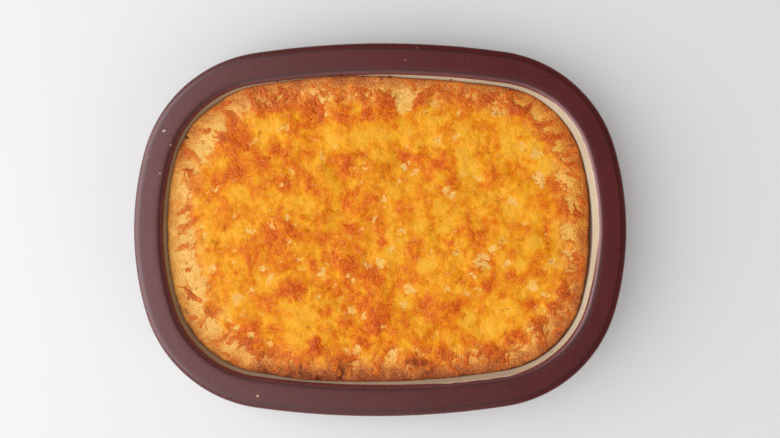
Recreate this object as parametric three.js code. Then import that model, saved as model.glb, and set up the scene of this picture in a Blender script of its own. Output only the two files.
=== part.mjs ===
// A cheese-topped casserole in the stoneware baking dish that it was baked in.
// Three pieces: the dish, the bready bake that fills it, and the blanket of melted cheese on the bake.
// Millimetres, +Z up, X along the dish. The origin is under the middle of the foot, on the table.

import * as THREE from "three";

// Every level of the dish is an oval of three kinds of tangent arc: a short arc at each end, a long arc on
// each side and a tighter corner arc between them. An oval is its half length, half width and corner radius.
const OPENING = { length: 165.2, width: 118.1, corner: 76 };
const RIM_EDGE = { length: 187.3, width: 141.9, corner: 102.3 };
const END_TURN = THREE.MathUtils.degToRad(15.8); // half of what each end arc turns through
const SIDE_TURN = THREE.MathUtils.degToRad(8.4); // half of what each side arc turns through
const EVEN_INSET = 36; // ovals shrink evenly by up to this much, and to scale when they are smaller still

// Steps along each kind of arc, in each quarter of an oval.
const END_STEPS = 5;
const CORNER_STEPS = 12;
const SIDE_STEPS = 5;
const QUARTER_STEPS = END_STEPS + CORNER_STEPS + SIDE_STEPS;
const TURN_STEPS = 4 * QUARTER_STEPS;

// The dish.
const DISH_HEIGHT = 62;
const FLOOR_TOP = 10;
const WALL_THICK = 8;
const WALL_DRAFT = 15; // degrees that the wall leans out
const FLOOR_FILLET = 13;
const FOOT_BEND = 6; // radius of the bend from the wall into the foot
const FOOT_WIDTH = 8; // the ring that the dish stands on
const FOOT_RECESS = 1.5; // how far the underside lies above the table, inside that ring
const GLAZE_DROP = 4; // from the top of the rim down to where the glaze stops and the bare clay begins
const INNER_BEAD = 2.2; // radius of the bead along the rim's inner edge
const INNER_BEAD_DROP = 0.3; // how far that bead stays below the outer one
const OUTER_BEAD = 3.4; // radius of the bead along the rim's outer edge
const BAND_DROP = 1.1; // how far the flat band between the beads lies below the outer one
const RIM_THICK = 7;
const RIM_FILLET = 3.5; // under the rim, where it leaves the wall

// The bake.
const GAP = 0.3; // between one piece and the next
const EDGE_TOP = 50.6; // height of the top edge, on average
const END_LEAN = 2.6; // it stands this much higher at the left end, and lower at the right
const SIDE_LEAN = 0.9; // and this much higher at the back, and lower at the front
const CROWN_RISE = 2.4; // how much the middle has risen above the edge
const EDGE_ROUND = 3; // radius of the crust's shoulder
const END_SHRINK = 1.3; // how far the right end has drawn back from the wall
const SIDE_SHRINK = 0.6; // and the front side
const CRUST_NOTCH = 0.5; // depth of the notches along the crust's edge
const HOLLOW = 0.5; // depth of the shallow hollows in the top

// The melted cheese.
const CHEESE_THICK = 1.7;
const CHEESE_REACH = 0.89; // how far out it reaches, as a share of the way to the bake's edge
const CHEESE_TONGUE = 0.04; // how much its ragged edge runs in and out
const CHEESE_EDGE = 0.6; // thickness of that edge, as a share of the whole

const { degToRad, lerp } = THREE.MathUtils;

// The oval of the dish's family that has this half length.
function ovalAt(length) {
  if (length >= OPENING.length) {
    const share = (length - OPENING.length) / (RIM_EDGE.length - OPENING.length);
    return {
      length,
      width: lerp(OPENING.width, RIM_EDGE.width, share),
      corner: lerp(OPENING.corner, RIM_EDGE.corner, share),
    };
  }
  const inset = Math.min(OPENING.length - length, EVEN_INSET);
  const scale = length / (OPENING.length - inset);
  return {
    length,
    width: (OPENING.width - inset) * scale,
    corner: (OPENING.corner - inset) * scale,
  };
}

// The point of an oval at a step round it, counted anticlockwise from +X.
function ovalPoint({ length, width, corner }, step) {
  const quarter = Math.floor(step / QUARTER_STEPS) % 4;
  const along = step % QUARTER_STEPS;
  const s = quarter % 2 === 0 ? along : QUARTER_STEPS - along;

  const endLean = Math.tan(END_TURN / 2);
  const sideLean = Math.tan(SIDE_TURN / 2);
  const cornerX = (length - corner - (width - corner) * endLean) / (1 - endLean * sideLean);
  const cornerY = (width - corner - (length - corner) * sideLean) / (1 - endLean * sideLean);
  const endRadius = corner + cornerY / Math.sin(END_TURN);
  const sideRadius = corner + cornerX / Math.sin(SIDE_TURN);

  const point = new THREE.Vector2();
  const arcPoint = (x, y, radius, angle) =>
    point.set(x + radius * Math.cos(angle), y + radius * Math.sin(angle));
  if (s <= END_STEPS) {
    arcPoint(length - endRadius, 0, endRadius, (END_TURN * s) / END_STEPS);
  } else if (s <= END_STEPS + CORNER_STEPS) {
    const share = (s - END_STEPS) / CORNER_STEPS;
    arcPoint(cornerX, cornerY, corner, lerp(END_TURN, Math.PI / 2 - SIDE_TURN, share));
  } else {
    const share = (QUARTER_STEPS - s) / SIDE_STEPS;
    arcPoint(0, width - sideRadius, sideRadius, Math.PI / 2 - SIDE_TURN * share);
  }
  if (quarter === 1 || quarter === 2) point.x *= -1;
  if (quarter >= 2) point.y *= -1;
  return point;
}

// A lathe whose circles are drawn out to ovals. The section runs from the axis at the underside round to the
// axis at the top, and place(entry, step, index) gives where each of its entries lies at each step round.
function ovalLathe(section, place) {
  const profile = section.map((_, index) => {
    const onAxis = index === 0 || index === section.length - 1;
    return new THREE.Vector2(onAxis ? 0 : 1, index);
  });
  const lathe = new THREE.LatheGeometry(profile, TURN_STEPS);
  const position = lathe.getAttribute("position");
  for (let i = 0; i < position.count; i++) {
    const step = Math.floor(i / section.length);
    const index = i % section.length;
    const p = place(section[index], step, index);
    position.setXYZ(i, p.x, p.y, p.z);
  }
  lathe.deleteAttribute("normal");
  lathe.deleteAttribute("uv");
  lathe.computeVertexNormals();
  return lathe;
}

// A round part of a section, between two angles in degrees, as [half length, height] pairs.
function bend([centreLength, centreHeight], radius, from, to, steps) {
  return Array.from({ length: steps + 1 }, (_, i) => {
    const angle = degToRad(lerp(from, to, i / steps));
    return [centreLength + radius * Math.cos(angle), centreHeight + radius * Math.sin(angle)];
  });
}

// How far out the bare inner wall and the outer wall stand at a height, as half lengths.
const WALL_LEAN = Math.tan(degToRad(WALL_DRAFT));
const WALL_ACROSS = 1 / Math.cos(degToRad(WALL_DRAFT)); // a level cut through the wall, per millimetre
const GLAZE_LINE = [OPENING.length, DISH_HEIGHT - GLAZE_DROP];
const innerWallAt = (height) => GLAZE_LINE[0] - (GLAZE_LINE[1] - height) * WALL_LEAN;
const outerWallAt = (height) => innerWallAt(height) + WALL_THICK * WALL_ACROSS;

// The centre of the fillet between the inner wall and the floor.
const FILLET_CENTRE = [
  innerWallAt(FLOOR_TOP + FLOOR_FILLET) - FLOOR_FILLET * WALL_ACROSS,
  FLOOR_TOP + FLOOR_FILLET,
];
const FILLET_STEPS = 4;

function dishSection() {
  const foot = [outerWallAt(FOOT_BEND) - FOOT_BEND * WALL_ACROSS, FOOT_BEND];
  const band = DISH_HEIGHT - BAND_DROP;
  const filletHeight = band - RIM_THICK - RIM_FILLET;
  const rimFillet = [outerWallAt(filletHeight) + RIM_FILLET * WALL_ACROSS, filletHeight];
  const outerBead = [RIM_EDGE.length - OUTER_BEAD, DISH_HEIGHT - OUTER_BEAD];
  const innerBead = [OPENING.length + INNER_BEAD, DISH_HEIGHT - INNER_BEAD_DROP - INNER_BEAD];
  return [
    [0, FOOT_RECESS],
    [foot[0] - FOOT_WIDTH - FOOT_RECESS, FOOT_RECESS],
    [foot[0] - FOOT_WIDTH, 0],
    ...bend(foot, FOOT_BEND, -90, -WALL_DRAFT, 2),
    ...bend(rimFillet, RIM_FILLET, 180 - WALL_DRAFT, 95, 2),
    ...bend(outerBead, OUTER_BEAD, -90, 135, 5),
    [outerBead[0] - 1.2 * OUTER_BEAD, band],
    [innerBead[0] + 1.2 * INNER_BEAD, band],
    ...bend(innerBead, INNER_BEAD, 45, 180, 3),
    GLAZE_LINE,
    ...bend(FILLET_CENTRE, FLOOR_FILLET, -WALL_DRAFT, -90, FILLET_STEPS),
    [0, FLOOR_TOP],
  ];
}

function dishGeometry() {
  return ovalLathe(dishSection(), ([length, height], step) => {
    const p = ovalPoint(ovalAt(length), step);
    return new THREE.Vector3(p.x, p.y, height);
  });
}

// How much higher than on average the bake's edge stands at a point, and near a step round its outline.
function edgeRise(x, y) {
  return (SIDE_LEAN * y) / OPENING.width - (END_LEAN * x) / OPENING.length;
}

function edgeHeight(step) {
  const p = ovalPoint(OPENING, step);
  return EDGE_TOP + edgeRise(p.x, p.y);
}

// Half length of the bake's outline at the foot of its shoulder.
function bakeReach(step) {
  const angle = (2 * Math.PI * step) / TURN_STEPS;
  const shrunk = END_SHRINK * (1 + Math.cos(angle)) + SIDE_SHRINK * (1 - Math.sin(angle));
  const notches = CRUST_NOTCH * (1 + 0.6 * Math.sin(11 * angle + 0.6) + 0.4 * Math.sin(17 * angle + 2.1));
  return innerWallAt(edgeHeight(step) - EDGE_ROUND) - GAP - (shrunk + notches) / 2;
}

// Height of the bake's top at a point that lies this share of the way out: a low crown with hollows.
function bakeTop(x, y, share) {
  const ripple = Math.sin(x / 21 + 0.8) * Math.cos(y / 17 - 0.4) + 0.7 * Math.sin((x - y) / 29);
  const crown = CROWN_RISE * (1 - share ** 4) + HOLLOW * ripple * (1 - share ** 6);
  return EDGE_TOP + edgeRise(x, y) + crown;
}

function bakeGeometry() {
  const low = [
    [0, FLOOR_TOP + GAP],
    ...bend(FILLET_CENTRE, FLOOR_FILLET - GAP, -90, -WALL_DRAFT, FILLET_STEPS),
  ];
  const shoulder = [0, 30, 60];
  const shares = [0.965, 0.92, 0.85, 0.76, 0.65, 0.52, 0.39, 0.26, 0.13, 0];
  const section = [
    ...low.map(([length, height]) => ({ length, height })),
    ...shoulder.map((turned) => ({ turned })),
    ...shares.map((share) => ({ share })),
  ];
  return ovalLathe(section, ({ length, height, turned, share }, step) => {
    if (length !== undefined) {
      const p = ovalPoint(ovalAt(length), step);
      return new THREE.Vector3(p.x, p.y, height);
    }
    if (turned !== undefined) {
      const angle = degToRad(turned);
      const drawnIn = EDGE_ROUND * (1 - Math.cos(angle));
      const p = ovalPoint(ovalAt(bakeReach(step) - drawnIn), step);
      return new THREE.Vector3(p.x, p.y, edgeHeight(step) - EDGE_ROUND * (1 - Math.sin(angle)));
    }
    const p = ovalPoint(ovalAt(bakeReach(step) * share), step);
    return new THREE.Vector3(p.x, p.y, bakeTop(p.x, p.y, share));
  });
}

// The cheese's ragged outline, as a share of the way to the bake's edge.
function cheeseReach(step) {
  const angle = (2 * Math.PI * step) / TURN_STEPS;
  const tongues = Math.sin(7 * angle + 1.3) + Math.sin(12 * angle + 0.2) + Math.sin(19 * angle + 2.6);
  return CHEESE_REACH + (CHEESE_TONGUE * tongues) / 3;
}

function cheeseGeometry() {
  const shares = [0, 0.2, 0.4, 0.6, 0.78, 0.91];
  const over = GAP + CHEESE_THICK;
  const section = [
    ...shares.map((share) => ({ share, lift: GAP })),
    { share: 1, lift: GAP },
    { share: 0.985, lift: GAP + CHEESE_THICK * CHEESE_EDGE },
    ...shares.toReversed().map((share) => ({ share, lift: over })),
  ];
  return ovalLathe(section, ({ share, lift }, step) => {
    const outwards = share * cheeseReach(step);
    const p = ovalPoint(ovalAt(bakeReach(step) * outwards), step);
    return new THREE.Vector3(p.x, p.y, bakeTop(p.x, p.y, outwards) + lift);
  });
}

function piece(name, geometry, color, roughness) {
  const mesh = new THREE.Mesh(geometry, new THREE.MeshStandardMaterial({ color, roughness, metalness: 0 }));
  mesh.name = name;
  return mesh;
}

const casserole = new THREE.Group();
casserole.add(piece("baking_dish", dishGeometry(), "#5f2b2c", 0.2));
casserole.add(piece("bready_bake", bakeGeometry(), "#dba257", 0.8));
casserole.add(piece("melted_cheese", cheeseGeometry(), "#f29a24", 0.5));

export default casserole;
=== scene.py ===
# %% [markdown]
# # A cheese-topped casserole in its baking dish
# An uncut cornbread bake with shredded cheese melted over it, in the oblong stoneware dish that it was baked
# in, seen from straight above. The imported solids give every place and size, and this file gives the looks.

# %% Load the frame
import math

import bpy
import numpy as np
from mathutils.bvhtree import BVHTree
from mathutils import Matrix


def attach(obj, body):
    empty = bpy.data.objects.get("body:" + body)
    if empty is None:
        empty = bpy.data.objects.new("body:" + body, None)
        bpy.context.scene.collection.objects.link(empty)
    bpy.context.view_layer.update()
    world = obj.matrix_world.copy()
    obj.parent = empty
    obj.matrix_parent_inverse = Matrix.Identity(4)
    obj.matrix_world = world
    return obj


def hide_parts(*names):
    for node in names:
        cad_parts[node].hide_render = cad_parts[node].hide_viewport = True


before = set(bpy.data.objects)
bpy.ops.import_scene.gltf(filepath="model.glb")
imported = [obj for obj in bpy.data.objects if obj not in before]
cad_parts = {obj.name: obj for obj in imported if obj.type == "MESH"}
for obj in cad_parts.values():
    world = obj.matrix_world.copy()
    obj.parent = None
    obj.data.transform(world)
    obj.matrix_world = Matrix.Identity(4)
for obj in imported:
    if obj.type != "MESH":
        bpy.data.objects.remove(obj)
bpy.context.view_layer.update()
MM = 0.001  # a millimetre, in metres

# %% Small helpers
def put(name, data):
    """A new object with this data, in the scene."""
    thing = bpy.data.objects.new(name, data)
    bpy.context.scene.collection.objects.link(thing)
    return thing


def give(mesh, label, values):
    """Stores one number for every point of a mesh, for nodes to read."""
    layer = mesh.attributes.new(label, "FLOAT", "POINT")
    layer.data.foreach_set("value", values.astype(np.float32))


# %% [markdown]
# ## The camera
# The dish was looked at from straight above, through an ordinary lens, from a little right of and behind its
# middle. A camera without any rotation looks straight down, so only its place and a slight roll are worked
# out here. They follow from the middle of the dish in the picture and from how large its rim is there.

# %% Camera
PICTURE = (780, 438)
LENS = 50
SENSOR = 36
RIM_TOP = 62  # mm, height of the dish
ABOVE_RIM = 821  # mm
DISH_MIDDLE = (380.2, 229.7)  # where the middle of the rim is in the picture
DISH_ROLL = math.radians(0.31)
FOCAL = PICTURE[0] * LENS / SENSOR
CAMERA_HEIGHT = RIM_TOP + ABOVE_RIM


def off_axis(px, py, height):
    """How far a spot of the picture lies from the camera's axis, in mm, on the level at this height."""
    across = (np.asarray(px, float) - PICTURE[0] / 2) / FOCAL * (CAMERA_HEIGHT - height)
    up = (PICTURE[1] / 2 - np.asarray(py, float)) / FOCAL * (CAMERA_HEIGHT - height)
    cos, sin = math.cos(-DISH_ROLL), math.sin(-DISH_ROLL)
    return across * cos - up * sin, across * sin + up * cos


middle_x, middle_y = off_axis(*DISH_MIDDLE, RIM_TOP)
CAMERA_X, CAMERA_Y = -middle_x, -middle_y


def from_picture(px, py, height=52):
    """The place on the food, in mm, that a spot of the picture shows."""
    x, y = off_axis(px, py, height)
    return CAMERA_X + x, CAMERA_Y + y


lens = bpy.data.cameras.new("camera")
lens.lens = LENS
lens.sensor_width = SENSOR
camera = put("camera", lens)
camera.location = (CAMERA_X * MM, CAMERA_Y * MM, CAMERA_HEIGHT * MM)
camera.rotation_euler = (0, 0, -DISH_ROLL)
bpy.context.scene.camera = camera
print("camera at", [round(c, 4) for c in camera.location])

# %% [markdown]
# ## Node wires that behave like numbers
# Shapes and finishes are made by nodes, and a formula spelt out node by node is hard to read. A Wire holds
# one output socket. Adding or multiplying wires adds a Math node, so a rule is written as plain arithmetic,
# and the same rule also works on numbers and on numpy arrays.

# %% Wires and nodes
class Wire:
    """One output of a node, used like a number."""

    def __init__(self, socket):
        self.socket = socket

    def math(self, operation, *others):
        node = self.socket.id_data.nodes.new("ShaderNodeMath")
        node.operation = operation
        for slot, value in zip(node.inputs, (self, *others)):
            feed(slot, value)
        return Wire(node.outputs[0])

    def __add__(self, other):
        return self.math("ADD", other)

    def __sub__(self, other):
        return self.math("SUBTRACT", other)

    def __mul__(self, other):
        return self.math("MULTIPLY", other)

    def __truediv__(self, other):
        return self.math("DIVIDE", other)

    def __rsub__(self, other):
        return self * -1 + other

    __radd__ = __add__
    __rmul__ = __mul__


def feed(socket, value):
    """Puts a wire or a plain value into an input."""
    if isinstance(value, Wire):
        socket.id_data.links.new(value.socket, socket)
    else:
        socket.default_value = value


def add(tree, kind, inputs=None, **settings):
    """A new node with these settings and inputs."""
    node = tree.nodes.new(kind)
    for name, value in settings.items():
        setattr(node, name, value)
    for name, value in (inputs or {}).items():
        feed(node.inputs[name], value)
    return node


def wire(node, output=0):
    return Wire(node.outputs[output])


def parts(tree, vector):
    """The x, y and z of a vector."""
    node = add(tree, "ShaderNodeSeparateXYZ", {0: vector})
    return wire(node, 0), wire(node, 1), wire(node, 2)


def point(tree, x, y, z):
    """A vector from its x, y and z."""
    return wire(add(tree, "ShaderNodeCombineXYZ", {"X": x, "Y": y, "Z": z}))


def position(tree):
    """Where the point being worked on is."""
    return wire(add(tree, "GeometryNodeInputPosition"))


def sine(value):
    return value.math("SINE") if isinstance(value, Wire) else np.sin(value)


def cosine(value):
    return value.math("COSINE") if isinstance(value, Wire) else np.cos(value)


def least(value, other):
    return value.math("MINIMUM", other) if isinstance(value, Wire) else np.minimum(value, other)


def most(value, other):
    return value.math("MAXIMUM", other) if isinstance(value, Wire) else np.maximum(value, other)


def whole(value):
    return value.math("FLOOR") if isinstance(value, Wire) else np.floor(value)


def below(value, other):
    """1 where value is less than other, else 0."""
    return value.math("LESS_THAN", other) if isinstance(value, Wire) else (value < other) * 1.0


def share(value, low, high):
    """How far value is from low to high, kept between 0 and 1."""
    return most(least((value - low) / (high - low), 1), 0)


# %% [markdown]
# ## The ovals of the dish
# Every level of the dish is an oval of tangent arcs: a flat arc at each end, a flatter one along each side
# and a tight one at each corner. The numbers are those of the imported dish, in mm. One rule gives a point of
# any such oval, and both the node tree of the dish and the food's outline use it.

# %% Oval rule
OPENING = {"Opening length": 165.2, "Opening width": 118.1, "Opening corner": 76.0}
FLARE = {"Flare length": 22.1, "Flare width": 23.8, "Flare corner": 26.3}  # added from opening to rim edge
END_TURN = math.radians(15.8)
SIDE_TURN = math.radians(8.4)
CORNER_TURN = math.pi / 2 - END_TURN - SIDE_TURN
EVEN_INSET = 36
END_SHARE = 0.24  # of a quarter's outline that is end arc
SIDE_SHARE = 0.4
CORNER_MIDDLE = 0.42  # share of a quarter's outline at the middle of its corner


def oval_point(length, turn, family):
    """x and y of the oval with this half length, at this share of the way round, anticlockwise from +X."""
    opening_length = family["Opening length"]
    outward = most(length - opening_length, 0) / family["Flare length"]
    inset = least(most(opening_length - length, 0), EVEN_INSET)
    scale = least(length, opening_length) / (opening_length - inset)
    width = (family["Opening width"] - inset) * scale + outward * family["Flare width"]
    corner = (family["Opening corner"] - inset) * scale + outward * family["Flare corner"]

    end_lean, side_lean = math.tan(END_TURN / 2), math.tan(SIDE_TURN / 2)
    spare_x, spare_y = length - corner, width - corner
    corner_x = (spare_x - spare_y * end_lean) / (1 - end_lean * side_lean)
    corner_y = (spare_y - spare_x * side_lean) / (1 - end_lean * side_lean)
    end_radius = corner + corner_y / math.sin(END_TURN)
    side_radius = corner + corner_x / math.sin(SIDE_TURN)

    quarter = whole(turn * 4)
    into = turn * 4 - quarter
    odd = quarter - whole(quarter / 2) * 2
    along = into + odd * (1 - into * 2)
    angle = share(along, 0, END_SHARE) * END_TURN
    angle = angle + share(along, END_SHARE, 1 - SIDE_SHARE) * CORNER_TURN
    angle = angle + share(along, 1 - SIDE_SHARE, 1) * SIDE_TURN
    on_end = below(along, END_SHARE)
    on_side = 1 - below(along, 1 - SIDE_SHARE)
    on_corner = 1 - on_end - on_side
    radius = on_end * end_radius + on_corner * corner + on_side * side_radius
    x = on_end * (length - end_radius) + on_corner * corner_x + radius * cosine(angle)
    y = on_side * (width - side_radius) + on_corner * corner_y + radius * sine(angle)

    leftward = below(quarter * -1, -0.5) * below(quarter, 2.5)
    frontward = below(quarter * -1, -1.5)
    return x * (1 - leftward * 2), y * (1 - frontward * 2)


FAMILY = {**OPENING, **FLARE}
RIM_REACH = OPENING["Opening length"] + FLARE["Flare length"]
rim_x, rim_y = oval_point(np.full(4, RIM_REACH), np.array([0, 0.25, 0.5, 0.75]), FAMILY)
print("rim edge reaches x", rim_x.round(1), "y", rim_y.round(1))

# %% [markdown]
# ## The dish's section
# A baker like this is jiggered or pressed: one section, drawn round the oval. It runs from under the foot,
# up the outer wall, over the rim with its rolled edge, flat band and inner shoulder, and down the bare inner
# wall to the floor. Arcs are laid out in steps fine enough to look round.

# %% Section of the dish
WALL_LEAN = math.tan(math.radians(15))
WALL_ACROSS = 1 / math.cos(math.radians(15))
WALL_THICK = 8
FLOOR_TOP = 10
FLOOR_FILLET = 13
FOOT_BEND = 6
FOOT_RECESS = 1.5
FOOT_WIDTH = 8
GLAZE_STOP = 58  # mm up the inner wall, where glaze gives way to bare clay
EDGE_RADIUS = 3.4
ROLL_ACROSS = 5.2  # from the rim's edge in to its flat band
BAND = 61.95
SHOULDER_ACROSS = 8.2  # from the band in and down to the glaze line
SHOULDER_POWER = 3.5  # 2 would be an ellipse, and more is squarer
RIM_THICK = 8.05
RIM_FILLET = 3.5


def inner_wall(height):
    """Half length of the inner wall's oval at a height."""
    return OPENING["Opening length"] - (GLAZE_STOP - height) * WALL_LEAN


def outer_wall(height):
    return inner_wall(height) + WALL_THICK * WALL_ACROSS


def bend(centre, radius, start, end, steps):
    """Points round an arc, between two angles in degrees."""
    angles = np.radians(np.linspace(start, end, steps + 1))
    return [(centre[0] + radius * math.cos(a), centre[1] + radius * math.sin(a)) for a in angles]


def rounded(centre, across, rise, start, end, steps, power=2.0):
    """Points along an ellipse, or a squarer oval when power is over 2, between two angles in degrees."""
    angles = np.radians(np.linspace(start, end, steps + 1))
    level, upright = np.cos(angles), np.sin(angles)
    x = centre[0] + across * np.sign(level) * np.abs(level) ** (2 / power)
    return list(zip(x.tolist(), (centre[1] + rise * upright ** (2 / power)).tolist()))


def run(start, end, steps):
    """Points along a straight stretch, without its ends."""
    shares = np.linspace(0, 1, steps + 1)[1:-1]
    return [tuple(np.array(start) + (np.array(end) - np.array(start)) * s) for s in shares]


foot = (outer_wall(FOOT_BEND) - FOOT_BEND * WALL_ACROSS, FOOT_BEND)
under_rim = BAND - RIM_THICK - RIM_FILLET
rim_fillet = (outer_wall(under_rim) + RIM_FILLET * WALL_ACROSS, under_rim)
rim_edge = (RIM_REACH, RIM_TOP - EDGE_RADIUS)
shoulder = (OPENING["Opening length"] + SHOULDER_ACROSS, GLAZE_STOP)
glaze_line = (OPENING["Opening length"], GLAZE_STOP)
floor_fillet = (inner_wall(FLOOR_TOP + FLOOR_FILLET) - FLOOR_FILLET * WALL_ACROSS, FLOOR_TOP + FLOOR_FILLET)
ring_inside = foot[0] - FOOT_WIDTH

underside = [(0, FOOT_RECESS), *run((0, FOOT_RECESS), (ring_inside - 1.5, FOOT_RECESS), 8)]
underside += [(ring_inside - 1.5, FOOT_RECESS), (ring_inside - 0.8, 0.9), (ring_inside, 0.1)]
underside += [(ring_inside + 0.5, 0), (ring_inside + 1.5, 0)]
outside = bend(foot, FOOT_BEND, -90, -15, 7)
outside += run(outside[-1], bend(rim_fillet, RIM_FILLET, 165, 95, 1)[0], 10)
outside += bend(rim_fillet, RIM_FILLET, 165, 95, 6)
over_rim = bend((rim_edge[0] - EDGE_RADIUS, rim_edge[1]), EDGE_RADIUS, -90, 0, 8)[:-1]
over_rim += rounded((rim_edge[0] - ROLL_ACROSS, rim_edge[1]), ROLL_ACROSS, BAND - rim_edge[1], 0, 90, 14)
over_rim += run(over_rim[-1], (shoulder[0], BAND), 6)
over_rim += rounded(shoulder, SHOULDER_ACROSS, BAND - GLAZE_STOP, 90, 179.99, 16, SHOULDER_POWER)[:-1]
over_rim += [glaze_line]
inside = run(over_rim[-1], bend(floor_fillet, FLOOR_FILLET, -15, -90, 1)[0], 16)
inside += bend(floor_fillet, FLOOR_FILLET, -15, -90, 8)
inside += [*run(inside[-1], (0, FLOOR_TOP), 8), (0, FLOOR_TOP)]
section = underside + outside + over_rim + inside
print("section:", len(section), "points, overhang", round(rim_edge[0] - rim_fillet[0], 1), "mm")

# %% [markdown]
# ## The dish
# A lathe can't turn an oval, and Curve to Mesh would keep one section width all round. So a node tree lays
# out a grid, one way round the oval and the other along the section, and moves every point by the oval rule.
# Doubled points at the seam and in the middle of the floor are merged. The tree also hands on how far each
# point lies past the glaze line, for the finish to read.

# %% Build a geometry tree
def new_tree(name, sockets):
    """An empty geometry tree with these inputs, and its input and output nodes."""
    tree = bpy.data.node_groups.new(name, "GeometryNodeTree")
    tree.interface.new_socket("Geometry", in_out="INPUT", socket_type="NodeSocketGeometry")
    tree.interface.new_socket("Geometry", in_out="OUTPUT", socket_type="NodeSocketGeometry")
    for label, kind in sockets.items():
        tree.interface.new_socket(label, in_out="INPUT", socket_type=f"NodeSocket{kind}")
    return tree, tree.nodes.new("NodeGroupInput"), tree.nodes.new("NodeGroupOutput")


def named(tree, name, kind="FLOAT"):
    """A value that every point of the mesh carries under this name."""
    return wire(add(tree, "GeometryNodeInputNamedAttribute", {"Name": name}, data_type=kind))


def stored(tree, geometry, name, value, kind="FLOAT"):
    """The geometry, with a value kept on every point under this name."""
    node = add(tree, "GeometryNodeStoreNamedAttribute", data_type=kind, domain="POINT")
    for label, given in (("Geometry", geometry), ("Name", name), ("Value", value)):
        feed(node.inputs[label], given)
    return wire(node)


def run_tree(name, mesh, tree, values):
    """The plain mesh object that a tree makes from a mesh, with the modifier gone."""
    start = put(name + "_start", mesh)
    modifier = start.modifiers.new(name, "NODES")
    modifier.node_group = tree
    for socket in tree.interface.items_tree:
        if socket.name in values:
            modifier[socket.identifier] = values[socket.name]
    graph = bpy.context.evaluated_depsgraph_get()
    result = bpy.data.meshes.new_from_object(start.evaluated_get(graph), depsgraph=graph)
    bpy.data.objects.remove(start)
    result.name = name
    print(name, "has", sum(len(face.vertices) - 2 for face in result.polygons), "triangles")
    return put(name, result)


def end_tree(geometry, material, group_output):
    """Realizes, smooths and paints what a tree made, and sends it out."""
    tree = group_output.id_data
    real = add(tree, "GeometryNodeRealizeInstances", {"Geometry": geometry})
    shaded = add(tree, "GeometryNodeSetShadeSmooth", {"Geometry": wire(real)})
    painted = add(tree, "GeometryNodeSetMaterial", {"Geometry": wire(shaded), "Material": material})
    feed(group_output.inputs[0], wire(painted))


# %% Loft tree
def loft_tree():
    sizes = {label: "Float" for label in FAMILY}
    counts = {"Steps round": "Int", "Section points": "Int", "Material": "Material"}
    tree, given, result = new_tree("oval loft", {**sizes, **counts})
    inputs = {label: wire(given, label) for label in {**sizes, **counts}}
    grid_inputs = {
        "Size X": 1.0,
        "Size Y": 1.0,
        "Vertices X": inputs["Steps round"] + 1,
        "Vertices Y": inputs["Section points"],
    }
    grid = add(tree, "GeometryNodeMeshGrid", grid_inputs)
    round_oval, up_section, _ = parts(tree, position(tree))
    row = whole((up_section + 0.5) * (inputs["Section points"] - 1) + 0.5)

    def of_section(value, kind):
        """What the section's point in this row holds."""
        node = add(tree, "GeometryNodeSampleIndex", data_type=kind)
        for label, source in (("Geometry", wire(given)), ("Value", value), ("Index", row)):
            feed(node.inputs[label], source)
        return wire(node)

    length, _, height = parts(tree, of_section(position(tree), "FLOAT_VECTOR"))
    kept = stored(tree, wire(grid), "past_glaze", of_section(named(tree, "past_glaze"), "FLOAT"))
    x, y = oval_point(length, round_oval + 0.5, inputs)
    spot = point(tree, x * MM, y * MM, height * MM)
    moved = add(tree, "GeometryNodeSetPosition", {"Geometry": kept, "Position": spot})
    joined = add(tree, "GeometryNodeMergeByDistance", {"Geometry": wire(moved), "Distance": 0.01 * MM})
    end_tree(wire(joined), inputs["Material"], result)
    return tree


def face_outwards(piece):
    """Turns a closed mesh right side out. Its signed volume is negative when its faces point in."""
    mesh = piece.data
    mesh.calc_loop_triangles()
    corners = np.empty(len(mesh.vertices) * 3)
    mesh.vertices.foreach_get("co", corners)
    corners = corners.reshape(-1, 3)
    triangles = np.empty(len(mesh.loop_triangles) * 3, dtype=int)
    mesh.loop_triangles.foreach_get("vertices", triangles)
    a, b, c = corners[triangles.reshape(-1, 3)].transpose(1, 0, 2)
    volume = np.einsum("ij,ij->i", a, np.cross(b, c)).sum() / 6
    if volume < 0:
        mesh.flip_normals()
    print(piece.name, "holds", round(abs(volume) * 1e6, 1), "cubic cm, turned:", bool(volume < 0))


# %% [markdown]
# ## Finishes
# Colours are given as they look on a screen, and turned into the linear values that shaders use. A material
# starts as a Principled shader whose constants are set on its own sockets. Colour, roughness and bump are
# wired in from patterns on Object coordinates, so they stay put on the piece from any side.

# %% Material helpers
def tone(red, green, blue):
    """A screen colour from 0 to 255 as linear red, green, blue and alpha."""
    shown = [c / 255 for c in (red, green, blue)]
    linear = [c / 12.92 if c <= 0.04045 else ((c + 0.055) / 1.055) ** 2.4 for c in shown]
    return (*linear, 1.0)


def new_finish(name, **constants):
    """A material, its tree and its shader node."""
    material = bpy.data.materials.new(name)
    material.use_nodes = True
    shader = material.node_tree.nodes["Principled BSDF"]
    for label, value in constants.items():
        shader.inputs[label].default_value = value
    return material, material.node_tree, shader


def object_place(tree):
    return wire(add(tree, "ShaderNodeTexCoord"), "Object")


def noise(tree, size, detail=2, place=None, roughness=0.5, distortion=0.0):
    """A soft pattern of lumps of about this size in mm, from 0 to 1."""
    place = place or object_place(tree)
    node = add(tree, "ShaderNodeTexNoise", {"Vector": place, "Scale": 1 / (size * MM), "Detail": detail})
    node.inputs["Roughness"].default_value = roughness
    node.inputs["Distortion"].default_value = distortion
    return wire(node)


def ramp(tree, factor, stops):
    """A colour for each value of factor, between the given stops."""
    node = add(tree, "ShaderNodeValToRGB", {0: factor})
    elements = node.color_ramp.elements
    while len(elements) < len(stops):
        elements.new(0.5)
    for element, (place, colour) in zip(elements, sorted(stops.items())):
        element.position = place
        element.color = colour
    return wire(node)


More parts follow.
